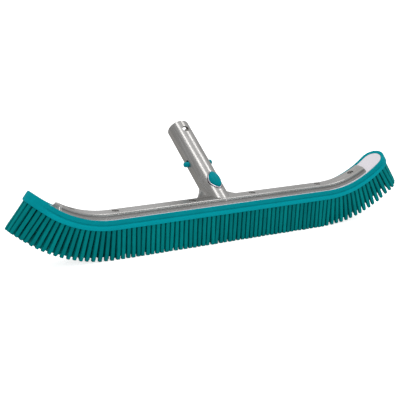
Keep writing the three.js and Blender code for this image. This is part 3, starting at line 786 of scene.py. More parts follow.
def make_core(settings):
    """The pale plate with its flange and its screw bosses."""
    head = settings.head
    back = Back(head)
    soft = 0.0003
    half, thick = head.core_half_width, head.core_thickness
    flange = half + head.core_flange
    outline = [(half - soft, 0), (half, -soft), (half, -thick / 2)]
    outline += [(flange, -thick / 2), (flange, -thick)]
    made = new_object("core", back.plate(outline, back.end_centre))
    bosses, holes = Shape(), Shape()
    boss_end = -thick - head.core_boss_length
    for s in screw_stations(head):
        back.post(bosses, head.core_boss_radius, boss_end, -thick / 2, s)
        back.post(holes, settings.screws.shank_radius + SEAT_GAP, boss_end - OVERRUN, OVERRUN, s)
    carve(made, bosses, "UNION")
    carve(made, holes)
    smooth(made, weighted=True)
    finish_piece(made, pale_plastic(settings.finishes), ["core_plate"])


# Rubber fingers and their backing

def finger_places(settings):
    """Station, offset and turn of each finger."""
    sizes = settings.fingers
    back = Back(settings.head)
    end_length = back.end_centre - back.flat
    flat_rows = round(back.flat / sizes.pitch)
    end_rows = round(end_length / sizes.end_pitch)
    end_pitch = end_length / end_rows
    places = []

    def station(row):
        on_flat = min(row, flat_rows)
        return on_flat * back.flat / flat_rows + (row - on_flat) * end_pitch

    def both(s, y, turn=0.0):
        places.append((s, y, turn))
        if s > 0:
            places.append((-s, y, -turn))

    rows = flat_rows + end_rows
    for row in range(rows + 1):
        for y in (0, sizes.inner_row, -sizes.inner_row):
            both(station(row), y)
        if row < rows:
            both(station(row + 0.5), sizes.outer_row)
            both(station(row + 0.5), -sizes.outer_row)
    outer_count = round(math.pi * sizes.outer_row / end_pitch)
    inner_count = round(math.pi * sizes.inner_row / end_pitch)
    turns = [(sizes.outer_row, math.pi * (i + 0.5) / outer_count) for i in range(outer_count)]
    turns += [(sizes.inner_row, math.pi * i / inner_count) for i in range(1, inner_count)]
    for offset, turn in turns:
        both(back.end_centre + offset * math.sin(turn), offset * math.cos(turn), turn)
    return places


def finger_half_width(sizes, length, narrowing, depth):
    """Half of a finger's width at a depth: flared root, taper, narrowed nose and round tip."""
    flare, nose_power, round_share = 0.0003, 1.5, 0.85
    half = (sizes.base + (sizes.tip - sizes.base) * limit(depth / length)) / 2
    half += flare * max(0, 1 - max(depth, 0) / sizes.root) ** 2
    half -= narrowing * (max(0, depth - (length - sizes.nose)) / sizes.nose) ** nose_power
    past = max(0, depth - (length - sizes.tip_round)) / sizes.tip_round
    return half - sizes.tip_round * round_share * (1 - math.sqrt(max(0, 1 - past ** 2)))


def finger_rings(sizes, length, draw, narrowing):
    """Rings of one finger that hangs down from the origin, with a lean, a sway and a twist of its own."""
    lean_x, lean_y = (draw.gauss(0, sizes.lean) for _ in range(2))
    sway_x, sway_y = (draw.gauss(0, sizes.sway) for _ in range(2))
    twist = draw.gauss(0, sizes.twist)
    sides, squareness, sunk = 16, 10, 0.0006
    taper_shares, nose_shares, tip_degrees = (0.25, 0.5, 0.75, 1), (0.4, 0.7, 1), (30, 60, 86)
    root, nose, tip_round = sizes.root, sizes.nose, sizes.tip_round
    depths = [-sunk, 0, root / 2, root]
    depths += [root + (length - nose - root) * part for part in taper_shares]
    depths += [length - nose + (nose - tip_round) * part for part in nose_shares]
    depths += [length - tip_round + tip_round * math.sin(math.radians(a)) for a in tip_degrees]
    rings = []
    for depth in depths:
        part = limit(depth / length)
        half = finger_half_width(sizes, length, narrowing, depth)
        shift_x = lean_x * depth + sway_x * part ** 2
        shift_y = lean_y * depth + sway_y * part ** 2
        turned = Matrix.Rotation(twist * part, 4, "Z")
        ring = []
        for cosine, sine in circle(1, sides):
            reach = half / (abs(cosine) ** squareness + abs(sine) ** squareness) ** (1 / squareness)
            corner = turned @ Vector((reach * cosine, reach * sine, -depth))
            ring.append(corner + Vector((shift_x, shift_y, 0)))
        rings.append(ring)
    return rings


def make_backing(settings, top, bottom):
    """The rubber backing, with pockets for the core plate's bosses."""
    head, sizes = settings.head, settings.fingers
    back = Back(head)
    soft = 0.0006
    half = head.rim_half_width - head.rim_wall - SEAT_GAP
    outline = [(half, top), (half, bottom + soft), (half - soft, bottom)]
    made = new_object("backing", back.plate(outline, back.end_centre))
    pockets = Shape()
    for s in screw_stations(head):
        back.post(pockets, head.core_boss_radius + SEAT_GAP, bottom + sizes.pad_membrane, top + OVERRUN, s)
    carve(made, pockets)
    shape = Shape()
    shape.points = [vertex.co.copy() for vertex in made.data.vertices]
    shape.faces = [tuple(polygon.vertices) for polygon in made.data.polygons]
    bpy.data.objects.remove(made)
    return shape


def make_fingers(settings):
    """The rubber backing and all its fingers, in one moulding."""
    sizes, finishes = settings.fingers, settings.finishes
    back = Back(settings.head)
    top = -(settings.head.core_thickness + SEAT_GAP)
    bottom = top - sizes.pad_thickness
    shape = make_backing(settings, top, bottom)
    backing_tone, darkest, lightest = 0.5, 0.25, 0.85
    bend_start, bend_run = 0.14, 0.05
    tones = [backing_tone] * len(shape.points)
    draw = random.Random(sizes.seed)
    for s, y, turn in finger_places(settings):
        place = back.place(s, y) @ Matrix.Translation((0, 0, bottom)) @ Matrix.Rotation(-turn, 4, "Z")
        narrowing = sizes.end_narrowing * limit((abs(s) - bend_start) / bend_run)
        rings = finger_rings(sizes, back.top + bottom, draw, narrowing)
        shape.loft([[place @ point for point in ring] for ring in rings])
        tones += [draw.uniform(darkest, lightest)] * (len(shape.points) - len(tones))
    made = smooth(new_object("finger_pad", shape), crease=50)
    store(made, "tone", tones)
    material = teal_rubber(
        "finger_rubber", finishes.finger, finishes.finger_shade, roughness=0.46, flow_factors=(300, 300, 45))
    nodes = ["finger_pad_left", "finger_pad_middle", "finger_pad_right"]
    finish_piece(made, material, nodes)


# Cast bar and handle

class HandleFrame:
    """The handle's own frame: X across, Y up its axis and Z out of its front."""

    def __init__(self, settings):
        self.sizes = settings.handle
        self.tilt = QUARTER_TURN - self.sizes.lean
        top = Back(settings.head).top + settings.head.bar_height
        self.place = Matrix.Translation((0, self.sizes.setback, top)) @ Matrix.Rotation(self.tilt, 4, "X")
        self.inverse = self.place.inverted()

    def ring(self, radius, station, sides=96):
        """A round ring square to the axis."""
        return [Vector((sine, station, cosine)) for cosine, sine in circle(radius, sides)]

    def level_ring(self, radius, height, sides=96):
        """A ring where the round wall meets a level plane, at a height from the bar's top."""
        found = []
        for front, x in circle(radius, sides):
            station = (height - front * math.cos(self.tilt)) / math.sin(self.tilt)
            found.append(Vector((x, station, front)))
        return found

    def wall(self, rings, looped=False):
        """A solid from rings in the handle's frame."""
        return Shape().loft(rings, looped).moved(self.place)

    def almond(self, grow, steps=40):
        """Outline of the button's pointed oval, grown outwards."""
        long, wide = self.sizes.button_half_length, self.sizes.button_half_width
        radius = (long ** 2 + wide ** 2) / (2 * wide)
        centre = radius - wide
        reach = radius + grow
        spread = math.acos(centre / reach)
        points = []
        for side in (1, -1):
            for i in range(steps):
                turn = spread * (2 * i / steps - 1)
                x = side * (reach * math.cos(turn) - centre)
                points.append((x, side * reach * math.sin(turn)))
        return points

    def prism(self, outline, low, high, station):
        """An outline in the plane across the button, drawn from low to high."""
        return self.wall([[Vector((x, station + y, front)) for x, y in outline] for front in (low, high)])

    def collar(self, profile, inset=0.0, gap=0.0):
        """A ring round the button that follows the tube and narrows towards the button's upper tip.

        The profile's points are shares of the ring's width and radii from the tube's axis.
        """
        middle_share, change_share = 0.75, 0.25
        inner = self.almond(SLIDE_GAP - inset)
        root = self.almond(SLIDE_GAP + gap)
        full = self.almond(SLIDE_GAP + self.sizes.bezel_width + gap)
        rings = []
        for (inner_x, inner_y), (root_x, root_y), (full_x, full_y) in zip(inner, root, full):
            wide_share = middle_share - change_share * root_y / self.sizes.button_half_length
            outer_x = root_x + (full_x - root_x) * wide_share
            outer_y = root_y + (full_y - root_y) * wide_share
            ring = []
            for part, radius in profile:
                x = inner_x + (outer_x - inner_x) * part
                y = inner_y + (outer_y - inner_y) * part
                ring.append(Vector((x, self.sizes.button_station + y, math.sqrt(radius ** 2 - x ** 2))))
            rings.append(ring)
        return self.wall(rings, looped=True)


def bar_outline(head):
    """Half of the bar's section: rounded top edge, a fine step under it and the sloped side."""
    top, half, edge, base = head.bar_height, head.bar_top_half, head.bar_edge_round, head.bar_base_half
    step_drop, step_out, step_in, step_half = 0.0006, 0.0004, 0.00005, 0.0003
    step_low, foot_low, foot_high, foot_in, foot_soft = 0.0001, 0.0002, 0.0005, 0.0003, 0.0001
    side_top = top - edge - step_drop
    outline = arc((half - edge, top - edge), edge, start=90, end=4, steps=9)
    outline += [(half - step_in, side_top + step_half), (half + step_out, side_top - step_low)]
    outline += [(base - foot_in, SEAT_GAP + foot_high), (base, SEAT_GAP + foot_low)]
    outline += [(base - foot_soft, SEAT_GAP)]
    return outline


def bar_shell(settings):
    """The bar along the curve, with rounded corners at both ends."""
    head = settings.head
    back = Back(head)
    outline = bar_outline(head)
    corner, end_drop, steps = head.bar_corner_round, 0.0016, 9
    rings = []

    def ring(s, past=0.0):
        inset = corner * past
        flat = 1 - end_drop * past / head.bar_height
        right = [back.point(s, w - inset, h * flat) for w, h in outline]
        left = [back.point(s, inset - w, h * flat) for w, h in outline]
        rings.append(right + left[::-1])

    turns = [QUARTER_TURN * i / steps for i in range(1, steps + 1)]
    start = head.bar_half_length - corner
    for turn in turns[::-1]:
        ring(-(start + corner * math.sin(turn)), 1 - math.cos(turn))
    for s in back.stations(-start, start):
        ring(s)
    for turn in turns:
        ring(start + corner * math.sin(turn), 1 - math.cos(turn))
    return Shape().loft(rings)


def bar_channel(head):
    """The hollow under the bar."""
    side_share, end_walls = 0.75, 3
    roof = head.bar_height - head.bar_roof
    spread = head.bar_base_half - head.bar_top_half
    inner = head.bar_base_half - head.bar_wall
    below = spread * OVERRUN / (roof - SEAT_GAP)
    outline = [(inner - spread * side_share, roof), (inner + below, SEAT_GAP - OVERRUN)]
    return Back(head).plate(outline, head.bar_half_length - end_walls * head.bar_wall, round_ends=False)


def foot_outline(sizes, steps=64):
    """One side of the foot, as half widths and places from its back edge over its tip to its front."""
    rear_share, rear_power, front_power = 0.6, 1.05, 1.2
    growth = sizes.foot_half_width - sizes.foot_back_half
    reach = sizes.foot_tip + sizes.foot_front
    points = []
    for i in range(steps + 1):
        part = i / steps
        if part < rear_share:
            past = part / rear_share
            wide = sizes.foot_back_half + growth * past ** rear_power
            points.append((wide, sizes.foot_back + (sizes.foot_tip - sizes.foot_back) * past))
        else:
            left = (1 - part) / (1 - rear_share)
            points.append((sizes.foot_half_width * left, reach * left ** front_power - sizes.foot_front))
    return points


def foot_shape(settings):
    """The foot: a web behind the bar, and a hollow that runs up to an oval inside the tube."""
    sizes = settings.handle
    top = Back(settings.head).top + settings.head.bar_height
    outline = foot_outline(sizes)
    oval = []
    for i in range(len(outline)):
        turn = math.pi * i / (len(outline) - 1)
        oval_y = sizes.oval_setback + sizes.oval_depth * math.cos(turn)
        oval.append(((sizes.radius - SEAT_GAP) * math.sin(turn), oval_y))

    def ring(spread, height, inset=0.0):
        shrink = 1 - inset / sizes.foot_half_width
        side = []
        for (wide, y), (oval_wide, oval_y) in zip(outline, oval):
            half = (oval_wide + (wide - oval_wide) * spread) * shrink
            side.append((half, oval_y + (y - oval_y) * spread))
        around = side + [(-wide, y) for wide, y in side[-2::-1]]
        return [Vector((x, y, top + height)) for x, y in around]

    steps, soft = 20, 0.0005
    rings = [ring(1, -sizes.foot_drop, soft), ring(1, -sizes.foot_drop + soft)]
    rise = sizes.foot_height + sizes.foot_edge_drop
    for i in range(steps):
        turn = QUARTER_TURN * (1 - i / steps)
        rings.append(ring(1 - math.cos(turn), rise * (1 - math.sin(turn)) - sizes.foot_edge_drop))
    return Shape().loft(rings)


def tube_shape(settings, handle):
    """The round wall of the handle, with a softened open end."""
    sizes = handle.sizes
    soft, steps = 0.0007, 12
    rings = [handle.level_ring(sizes.radius, -settings.head.bar_roof)]
    first = sizes.radius / math.tan(handle.tilt) + OVERRUN
    last = sizes.length - soft
    rings += [handle.ring(sizes.radius, first + (last - first) * i / steps) for i in range(steps + 1)]
    for inset, station in arc((0, last), soft, start=0, end=90, steps=3)[1:]:
        rings.append(handle.ring(sizes.radius - soft + inset, station))
    return handle.wall(rings)


def bore_shape(handle):
    """The bore, with a softened mouth."""
    sizes = handle.sizes
    bore, soft, width_share, depth_share = sizes.radius - sizes.wall, 0.0006, 0.3, 0.35
    rings = [handle.level_ring(bore, 0), handle.ring(bore, sizes.length - soft)]
    rings += [handle.ring(bore + soft * width_share, sizes.length - soft * depth_share)]
    rings += [handle.ring(bore + soft, sizes.length), handle.ring(bore + soft, sizes.length + OVERRUN)]
    return handle.wall(rings)


def pin_motion(settings):
    """Span of a clip arm, its full swing, and how far that moves the pin along the handle."""
    sizes, clip = settings.handle, settings.clip
    span = sizes.pin_station - clip.hinge_station
    swing = math.asin(sizes.pin_reach / span)
    tip = sizes.radius + sizes.pin_reach
    shift = (tip - clip.hinge_offset) * math.sin(swing) - span * (1 - math.cos(swing))
    return span, swing, shift


def pin_slots(settings, handle):
    """Both holes for the pins: round, and longer towards the open end by the pin's own shift."""
    sizes = handle.sizes
    radius, steps, reach = sizes.pin_radius + SLIDE_GAP, 24, sizes.radius + OVERRUN
    _, _, shift = pin_motion(settings)
    outline = arc((0, shift), radius, start=0, end=180, steps=steps)
    outline += arc((0, 0), radius, start=180, end=360, steps=steps)
    ends = (-reach, reach)
    return handle.wall([[Vector((x, sizes.pin_station + y, -z)) for z, y in outline] for x in ends])


def cut_handle(made, settings, handle):
    """Cuts the bore, the button's window, the bezel's seat, the small hole and the pin holes."""
    sizes = handle.sizes
    reach = sizes.radius + OVERRUN
    seat = sizes.radius - sizes.bezel_seat
    carve(made, bore_shape(handle))
    carve(made, handle.prism(handle.almond(SLIDE_GAP + SEAT_GAP / 2), 0, reach, sizes.button_station))
    carve(made, handle.collar([(0, seat), (1, seat), (1, reach), (0, reach)], SLIDE_GAP / 2, SEAT_GAP))
    hole = circle(sizes.hole_radius, sides=48)
    carve(made, handle.prism(hole, 0, reach, sizes.length - sizes.hole_from_end))
    carve(made, pin_slots(settings, handle))


def paint_casting(made, head, handle):
    """Gives the metal's streaks their directions, and paints shade into the line under the bar's top edge
    and down the bar's sides towards its foot.
    """
    back = Back(head)
    bar_top = back.top + head.bar_height
    clear, foot_clear, side_painted_shade = 0.002, 0.0005, 0.3
    line_drop, line_half, flat_margin = 0.0007, 0.0004, 0.001
    line = head.bar_height - head.bar_edge_round - line_drop
    flat_half = head.bar_top_half - flat_margin

    def grain(point):
        local = handle.inverse @ point
        if local.y > clear and point.z > bar_top + foot_clear:
            return local.y, local.x, local.z
        return back.unroll(point)

    # Painted shade: a dark line under the top edge, and a darkening down each side towards the foot
    def painted_shade(point):
        _, y, h = back.unroll(point)
        if abs(y) < flat_half or abs(y) > head.bar_base_half:
            return 0.0
        return max(side_painted_shade * limit(1 - h / line), 1 - abs(h - line) / line_half)

    paint(made, "grain", grain, "FLOAT_VECTOR")
    paint(made, "painted_shade", painted_shade)


def make_casting(settings):
    """The cast bar and handle in one piece, with its cuts."""
    head, screws = settings.head, settings.screws
    back = Back(head)
    handle = HandleFrame(settings)
    made = new_object("casting", bar_shell(settings))
    carve(made, tube_shape(settings, handle), "UNION")
    carve(made, foot_shape(settings), "UNION")
    carve(made, bar_channel(head))
    bosses, sinks, holes = Shape(), Shape(), Shape()
    boss_gap = 0.0002
    boss_top = head.bar_height - head.bar_roof / 2
    sink_low = head.bar_height - screws.sink - screws.head_height - SEAT_GAP
    for s in screw_stations(head):
        back.post(bosses, head.bar_boss_radius, SEAT_GAP + boss_gap, boss_top, s)
        back.post(sinks, screws.head_radius + SEAT_GAP, sink_low, head.bar_height + OVERRUN, s)
        back.post(holes, screws.shank_radius + SEAT_GAP, -OVERRUN, head.bar_height, s)
    carve(made, bosses, "UNION")
    cut_handle(made, settings, handle)
    carve(made, sinks)
    carve(made, holes)
    paint_casting(made, head, handle)
    smooth(made, weighted=True)
    finish_piece(made, cast_metal(settings.finishes), ["back_bar_and_handle"])


# Bezel, button and clip

def make_bezel(settings):
    """The bright collar round the button, with a rounded crest and a painted shadow on its outer edge."""
    handle = HandleFrame(settings)
    sizes = settings.handle
    low = sizes.radius - sizes.bezel_seat + SEAT_GAP
    high = sizes.radius + sizes.bezel_rise
    crest, shoulder_share, edge_low, edge_high = 0.0006, 0.35, 0.0001, 0.0003
    shoulder = high - shoulder_share * crest
    outer_edge = [(1, low), (1, sizes.radius + edge_low), (0.8, sizes.radius + edge_high)]
    profile = [(0, low)] + outer_edge + [(0.74, shoulder), (0.58, high)]
    profile += [(0.22, high), (0.07, shoulder), (0, high - crest)]
    shape = handle.collar(profile)
    made = smooth(new_object("bezel", shape), crease=40)
    # Painted shadow: the profile's outer edge points get the dark colour
    dark = [float(point in outer_edge) for point in profile]
    store(made, "painted_shade", dark * (len(shape.points) // len(profile)))
    finish_piece(made, bright_metal(settings.finishes), ["button_bezel"])


def dome_height(sizes, x, y):
    """Height of the button's crown above the handle's axis."""
    depth, edge_fall, tip_fall = 0.012, 0.0034, 0.0026
    across = sizes.button_half_width / math.sqrt(1 - (1 - edge_fall / depth) ** 2)
    along = sizes.button_half_length / math.sqrt(1 - (1 - tip_fall / depth) ** 2)
    inside = max(0, 1 - (x / across) ** 2 - (y / along) ** 2)
    return sizes.radius + sizes.button_crown - depth + depth * math.sqrt(inside)


def dome_rings(handle, underside):
    """The button's skirt, its rounded edge and its dome."""
    sizes = handle.sizes
    outline = handle.almond(0, steps=48)
    edge, edge_degrees = 0.0007, (0, 22, 45, 68)
    dome_shares = (0.9, 0.8, 0.68, 0.54, 0.4, 0.26, 0.12, 0.03)

    def ring(part, height_at):
        inner = [(x * part, y * part) for x, y in outline]
        return [Vector((x, sizes.button_station + y, height_at(x, y))) for x, y in inner]

    rings = [ring(1, lambda x, y: underside)]
    wall = [dome_height(sizes, x, y) - edge for x, y in outline]
    for step in edge_degrees:
        turn = math.radians(step)
        shrink = 1 - (edge / sizes.button_half_width) * (1 - math.cos(turn))
        rim = ring(shrink, lambda x, y: edge * math.sin(turn))
        rings.append([point + Vector((0, 0, height)) for point, height in zip(rim, wall)])
    for part in dome_shares:
        rings.append(ring(part, lambda x, y: dome_height(sizes, x, y)))
    return rings


def add_wedges(shape, settings, underside):
    """Adds the two wedges under the button that close the clip's arms as it is pressed."""
    clip = settings.clip
    span, swing, _ = pin_motion(settings)
    station, length, outer, bottom, bridge_thick = 0.017, 0.004, 0.008, 0.0002, 0.0021
    bridge = underside - bridge_thick
    lever = station - clip.hinge_station
    travel = frame["joints"][0]["range_m"][1]
    taper = lever * math.sin(swing) / travel
    slope = (clip.end_offset - clip.hinge_offset) / span
    face = clip.hinge_offset + slope * lever + clip.arm_thickness / 2 + SLIDE_GAP
    low_face = face - taper * (bottom - clip.arm_top)
    high_face = face - taper * (bridge - clip.arm_top)
    outline = [(low_face, bottom), (outer, bottom), (outer, underside), (0, underside + OVERRUN)]
    outline += [(0, bridge), (high_face, bridge)]
    for side in (1, -1):
        ends = (station - length / 2, station + length / 2)
        shape.loft([[Vector((side * x, y, front)) for x, front in outline] for y in ends])


def add_tabs(shape, sizes):
    """Adds the two tabs that keep the button in its window."""
    reach, root, half, thick, steps = 0.0017, 0.004, 0.003, 0.0022, 8
    bore = sizes.radius - sizes.wall - SLIDE_GAP
    for end in (1, -1):
        near = sizes.button_station + end * (sizes.button_half_length - root)
        far = sizes.button_station + end * (sizes.button_half_length + reach)
        rings = []
        for i in range(steps + 1):
            x = half * (2 * i / steps - 1)
            low, high = (math.sqrt(radius ** 2 - x ** 2) for radius in (bore - thick, bore))
            corners = ((near, low), (far, low), (far, high), (near, high))
            rings.append([Vector((x, y, front)) for y, front in corners])
        shape.loft(rings)


def make_button(settings):
    """The domed pointed oval with its skirt, its two tabs and the wedges that close the clip."""
    handle = HandleFrame(settings)
    underside = 0.0084
    shape = Shape().loft(dome_rings(handle, underside))
    add_wedges(shape, settings, underside)
    add_tabs(shape, settings.handle)
    made = smooth(new_object("button", shape.moved(handle.place)), crease=40)
    finish_piece(made, teal_plastic(settings.finishes), ["release_button"], "button")


def make_arm(settings, side, name, node, body, material):
    """A clip arm: a flat spring bar, the boss and the domed locking pin."""
    sizes, clip = settings.handle, settings.clip
    span, _, _ = pin_motion(settings)
    slope = (clip.end_offset - clip.hinge_offset) / span
    half = clip.arm_thickness / 2
    start = clip.hinge_station + SEAT_GAP
    end = sizes.pin_station + clip.boss_radius + clip.overshoot
    soft, steps, sides = 0.0004, 12, 48
    corners = ((half, clip.arm_top), (-half, clip.arm_top),
               (-half, -clip.arm_bottom), (half, -clip.arm_bottom))
    section = []
    for number, (x, z) in enumerate(corners):
        centre = (x - math.copysign(soft, x), z - math.copysign(soft, z))
        section += arc(centre, soft, start=90 * number, end=90 * number + 90, steps=3)
    rings = []
    for i in range(steps + 1):
        station = start + (end - start) * i / steps
        middle = clip.hinge_offset + slope * (station - clip.hinge_station)
        rings.append([Vector((side * (middle + x), station, z)) for x, z in section])
    shape = Shape().loft(rings)
    inner = clip.end_offset - half
    round_tip, tip_share, tip_degrees = 0.0024, 0.72, (12, 24, 36, 48, 60, 72, 84)
    tip = sizes.radius + sizes.pin_reach
    boss = [(clip.boss_radius, inner), (clip.boss_radius, inner + clip.boss_length)]
    pin = [(sizes.pin_radius, inner + half), (sizes.pin_radius, tip - round_tip)]
    for step in tip_degrees:
        turn = math.radians(step)
        radius = sizes.pin_radius * (1 - tip_share * (1 - math.cos(turn)))
        pin.append((radius, tip - round_tip + round_tip * math.sin(turn)))
    for profile in (boss, pin):
        shape.loft([[Vector((side * x, sizes.pin_station + y, z)) for y, z in circle(radius, sides)]
                    for radius, x in profile])
    made = smooth(new_object(name, shape.moved(HandleFrame(settings).place)), crease=40)
    finish_piece(made, material, [node], body)


def make_clip(settings):
    """Both clip arms, and the finish of the heel that stays as it is."""
    material = teal_plastic(settings.finishes)
    make_arm(settings, -1, "left_arm_and_pin", "clip_arm_left", "left_arm", material)
    make_arm(settings, 1, "right_arm_and_pin", "clip_arm_right", "right_arm", material)
    heel = frame["nodes"]["clip_heel"]
    heel.data.materials.clear()
    heel.data.materials.append(material)


# Screws

def screw_blank(sizes, top):
    """A screw with a rounded head and a point, before its recess is cut."""
    under = top - sizes.head_height
    tip = under - sizes.length
    blunt, point_length, sides = 0.0002, 0.0024, 40
    edge, edge_share, edge_degrees = 0.0009, 0.75, (25, 50, 70, 88)
    profile = [(blunt, tip), (sizes.shank_radius, tip + point_length), (sizes.shank_radius, under)]
    profile += [(sizes.head_radius, under), (sizes.head_radius, top - edge)]
    for step in edge_degrees:
        turn = math.radians(step)
        radius = sizes.head_radius * (1 - edge_share * (1 - math.cos(turn)))
        profile.append((radius, top - edge + edge * math.sin(turn)))
    return Shape().loft([[Vector((x, y, z)) for x, y in circle(radius, sides)] for radius, z in profile])


def cut_recess(made, top):
    """Cuts the cross recess, and paints shade deep in it."""
    arm, arm_half, depth, length_share, width_share = 0.0024, 0.00055, 0.0014, 0.6, 0.8
    dark_depth, dark_radius = 0.0008, 0.003
    corners = ((-1, -1), (1, -1), (1, 1), (-1, 1))
    for long, narrow in ((arm, arm_half), (arm_half, arm)):
        low = [Vector((length_share * long * i, width_share * narrow * j, top - depth)) for i, j in corners]
        high = [Vector((long * i, narrow * j, top + OVERRUN)) for i, j in corners]
        carve(made, Shape().loft([low, high]))

    # Painted shade: points deeper than dark_depth near the middle get the dark colour
    def painted_shade(point):
        return float(point.z < top - dark_depth and math.hypot(point.x, point.y) < dark_radius)

    paint(made, "painted_shade", painted_shade)


def make_screws(settings):
    """Six screws with a rounded head, a cross recess and a point."""
    head, sizes = settings.head, settings.screws
    back = Back(head)
    material = screw_steel(settings.finishes)
    top = head.bar_height - sizes.sink
    for number, s in enumerate(screw_stations(head), 1):
        made = new_object(f"screw_{number}", screw_blank(sizes, top))
        cut_recess(made, top)
        made.data.transform(back.place(s) @ Matrix.Rotation(number * sizes.turn, 4, "Z"))
        smooth(made, crease=35)
        finish_piece(made, material, [f"head_screw_{number}"])


# Stage

def make_camera(stage):
    """The camera at the photograph's viewing angle."""
    azimuth, elevation, roll = stage.azimuth, stage.elevation, stage.roll
    nearest, farthest = 0.05, 30
    forward = Vector((math.sin(azimuth) * math.cos(elevation),
                      math.cos(azimuth) * math.cos(elevation), -math.sin(elevation)))
    level = Vector((math.cos(azimuth), -math.sin(azimuth), 0))
    above = level.cross(forward)
    right = level * math.cos(roll) + above * math.sin(roll)
    up = above * math.cos(roll) - level * math.sin(roll)
    target = Vector((stage.target_x, 0, stage.target_z))
    data = bpy.data.cameras.new("camera")
    data.sensor_width = 36
    data.lens = stage.lens
    data.shift_x = stage.shift_x
    data.shift_y = stage.shift_y
    data.clip_start, data.clip_end = nearest, farthest
    camera = bpy.data.objects.new("camera", data)
    bpy.context.scene.collection.objects.link(camera)
    turn = Matrix((right, up, -forward)).transposed().to_4x4()
    camera.matrix_world = Matrix.Translation(target - forward * stage.distance) @ turn
    bpy.context.scene.camera = camera


def strip_lamp(name, direction, width, brightness):
    """A soft rectangular lamp that faces the handle."""
    handle_middle, distance, length = Vector((0, 0.05, 0.08)), 4.0, 2.6
    data = bpy.data.lights.new(name, "AREA")
    data.shape = "RECTANGLE"
    data.size, data.size_y = width, length
    data.energy = brightness * math.pi * width * length
    lamp = bpy.data.objects.new(name, data)
    bpy.context.scene.collection.objects.link(lamp)
    back = Vector(direction).normalized()
    across = Vector((0, 1, 0)).cross(back).normalized()
    along = back.cross(across)
    turn = Matrix((across, along, back)).transposed().to_4x4()
    lamp.matrix_world = Matrix.Translation(handle_middle + back * distance) @ turn


def make_room(stage):
    """A pale room: white behind the brush, with a dim side that only the metal mirrors."""
    world = bpy.data.worlds.new("studio_room")
    bpy.context.scene.world = world
    world.use_nodes = True
    graph = Graph(world.node_tree)
    direction = graph.add("ShaderNodeTexCoord", output="Generated")

    def side(towards, low, high, away, near):
        inputs = {0: direction, 1: tuple(Vector(towards).normalized())}
        closeness = graph.add("ShaderNodeVectorMath", inputs, "Value", operation="DOT_PRODUCT")
        return graph.step(closeness, low, high, away, near)

    dark = side((-0.75, 0.45, 0.42), low=0.35, high=0.93, away=0.88, near=stage.dark_side)
    front = side((0.5, -0.75, 0.42), low=0.45, high=0.85, away=1.0, near=stage.front_side)
    right = side((0.87, 0.43, 0.20), low=0.80, high=0.96, away=1.0, near=stage.right_side)
    glossy = graph.ray("Glossy")
    unseen = glossy * (dark * front * right) + (1 - glossy) * stage.room_light
    seen = graph.seen()
    strength = seen + (1 - seen) * unseen
    shader = graph.add("ShaderNodeBackground", {"Color": (1, 1, 1), "Strength": strength})
    graph.add("ShaderNodeOutputWorld", {"Surface": shader})


def make_floor(settings):
    """A pale floor that shows white and keeps the brush's shadow."""
    finishes = settings.finishes
    material, graph = new_material("pale_floor")
    pale = graph.mix(graph.noise(graph.place(), scale=40.0), finishes.floor, finishes.floor_shade)
    graph.surface({
        "Base Color": graph.mix(graph.ray("Glossy"), pale, finishes.floor_mirrored),
        "Roughness": 0.9,
        "Specular IOR Level": 0.0,
        "Emission Color": graph.mix(graph.seen(), (0, 0, 0), FLOOR_GLOW),
        "Emission Strength": 1.0,
    })
    reach, below = 6.0, 0.0002
    shape = Shape()
    shape.points = [Vector((reach * i, reach * j, -below)) for i, j in ((-1, -1), (1, -1), (1, 1), (-1, 1))]
    shape.faces = [(0, 1, 2, 3)]
    floor = new_object("floor", shape)
    floor.data.materials.append(material)


def make_stage(settings):
    """Camera, floor, room and lamps."""
    stage = settings.stage
    make_camera(stage)
    make_floor(settings)
    make_room(stage)
    strip_lamp("top_strip", (-0.307, -0.030, 0.953), width=0.95, brightness=stage.top_light)
    strip_lamp("side_strip", (0.489, 0.022, 0.873), width=0.70, brightness=stage.side_light)
    bpy.context.scene.view_settings.view_transform = "Standard"


# Operators, panel and registration

class PieceOperator:
    """What the operators below share: each runs its own function on the scene's settings."""

    bl_options = {"REGISTER", "UNDO"}

    def execute(self, context):
        self.make(context.scene.wall_brush)
        return {"FINISHED"}


class WALLBRUSH_OT_rim(PieceOperator, Operator):
    """Build the rubber rim"""
    bl_idname = "wallbrush.rim"
    bl_label = "Rim"
    make = staticmethod(make_rim)


class WALLBRUSH_OT_core(PieceOperator, Operator):
    """Build the core plate"""
    bl_idname = "wallbrush.core"
    bl_label = "Core plate"
    make = staticmethod(make_core)


class WALLBRUSH_OT_fingers(PieceOperator, Operator):
    """Build the rubber fingers and their backing"""
    bl_idname = "wallbrush.fingers"
    bl_label = "Fingers"
    make = staticmethod(make_fingers)


class WALLBRUSH_OT_casting(PieceOperator, Operator):
    """Build the cast bar and handle"""
    bl_idname = "wallbrush.casting"
    bl_label = "Bar and handle"
    make = staticmethod(make_casting)


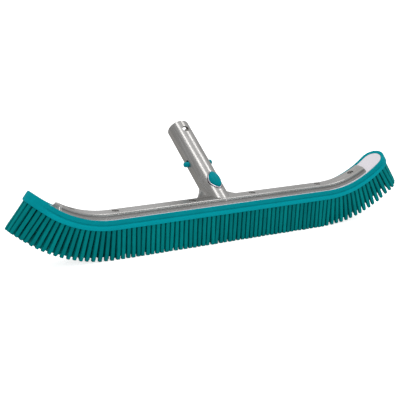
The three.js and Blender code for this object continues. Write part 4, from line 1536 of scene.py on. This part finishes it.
class WALLBRUSH_OT_bezel(PieceOperator, Operator):
    """Build the bright collar round the button"""
    bl_idname = "wallbrush.bezel"
    bl_label = "Bezel"
    make = staticmethod(make_bezel)


class WALLBRUSH_OT_button(PieceOperator, Operator):
    """Build the release button"""
    bl_idname = "wallbrush.button"
    bl_label = "Button"
    make = staticmethod(make_button)


class WALLBRUSH_OT_clip(PieceOperator, Operator):
    """Build the clip arms with their locking pins"""
    bl_idname = "wallbrush.clip"
    bl_label = "Clip"
    make = staticmethod(make_clip)


class WALLBRUSH_OT_screws(PieceOperator, Operator):
    """Build the six screws"""
    bl_idname = "wallbrush.screws"
    bl_label = "Screws"
    make = staticmethod(make_screws)


class WALLBRUSH_OT_stage(PieceOperator, Operator):
    """Build the camera, the floor, the room and the lamps"""
    bl_idname = "wallbrush.stage"
    bl_label = "Stage"
    make = staticmethod(make_stage)


OPERATORS = (
    WALLBRUSH_OT_stage,
    WALLBRUSH_OT_rim,
    WALLBRUSH_OT_core,
    WALLBRUSH_OT_fingers,
    WALLBRUSH_OT_casting,
    WALLBRUSH_OT_bezel,
    WALLBRUSH_OT_button,
    WALLBRUSH_OT_clip,
    WALLBRUSH_OT_screws,
)


class WALLBRUSH_PT_pieces(Panel):
    """Lists the operators that build the wall brush"""
    bl_idname = "WALLBRUSH_PT_pieces"
    bl_label = "Wall brush"
    bl_space_type = "VIEW_3D"
    bl_region_type = "UI"
    bl_category = "Wall brush"

    def draw(self, context):
        for operator in OPERATORS:
            self.layout.operator(operator.bl_idname)


SIZES = (HeadSizes, HandleSizes, ClipSizes, FingerSizes, ScrewSizes)
CLASSES = (*SIZES, Finishes, StageSettings, WallBrush, *OPERATORS, WALLBRUSH_PT_pieces)


def register():
    for item in CLASSES:
        bpy.utils.register_class(item)
    bpy.types.Scene.wall_brush = PointerProperty(type=WallBrush)


def unregister():
    del bpy.types.Scene.wall_brush
    for item in reversed(CLASSES):
        bpy.utils.unregister_class(item)


def main():
    """Registers the add-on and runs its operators."""
    register()
    for operator in OPERATORS:
        group, name = operator.bl_idname.split(".")
        getattr(getattr(bpy.ops, group), name)()


if __name__ == "__main__":
    main()
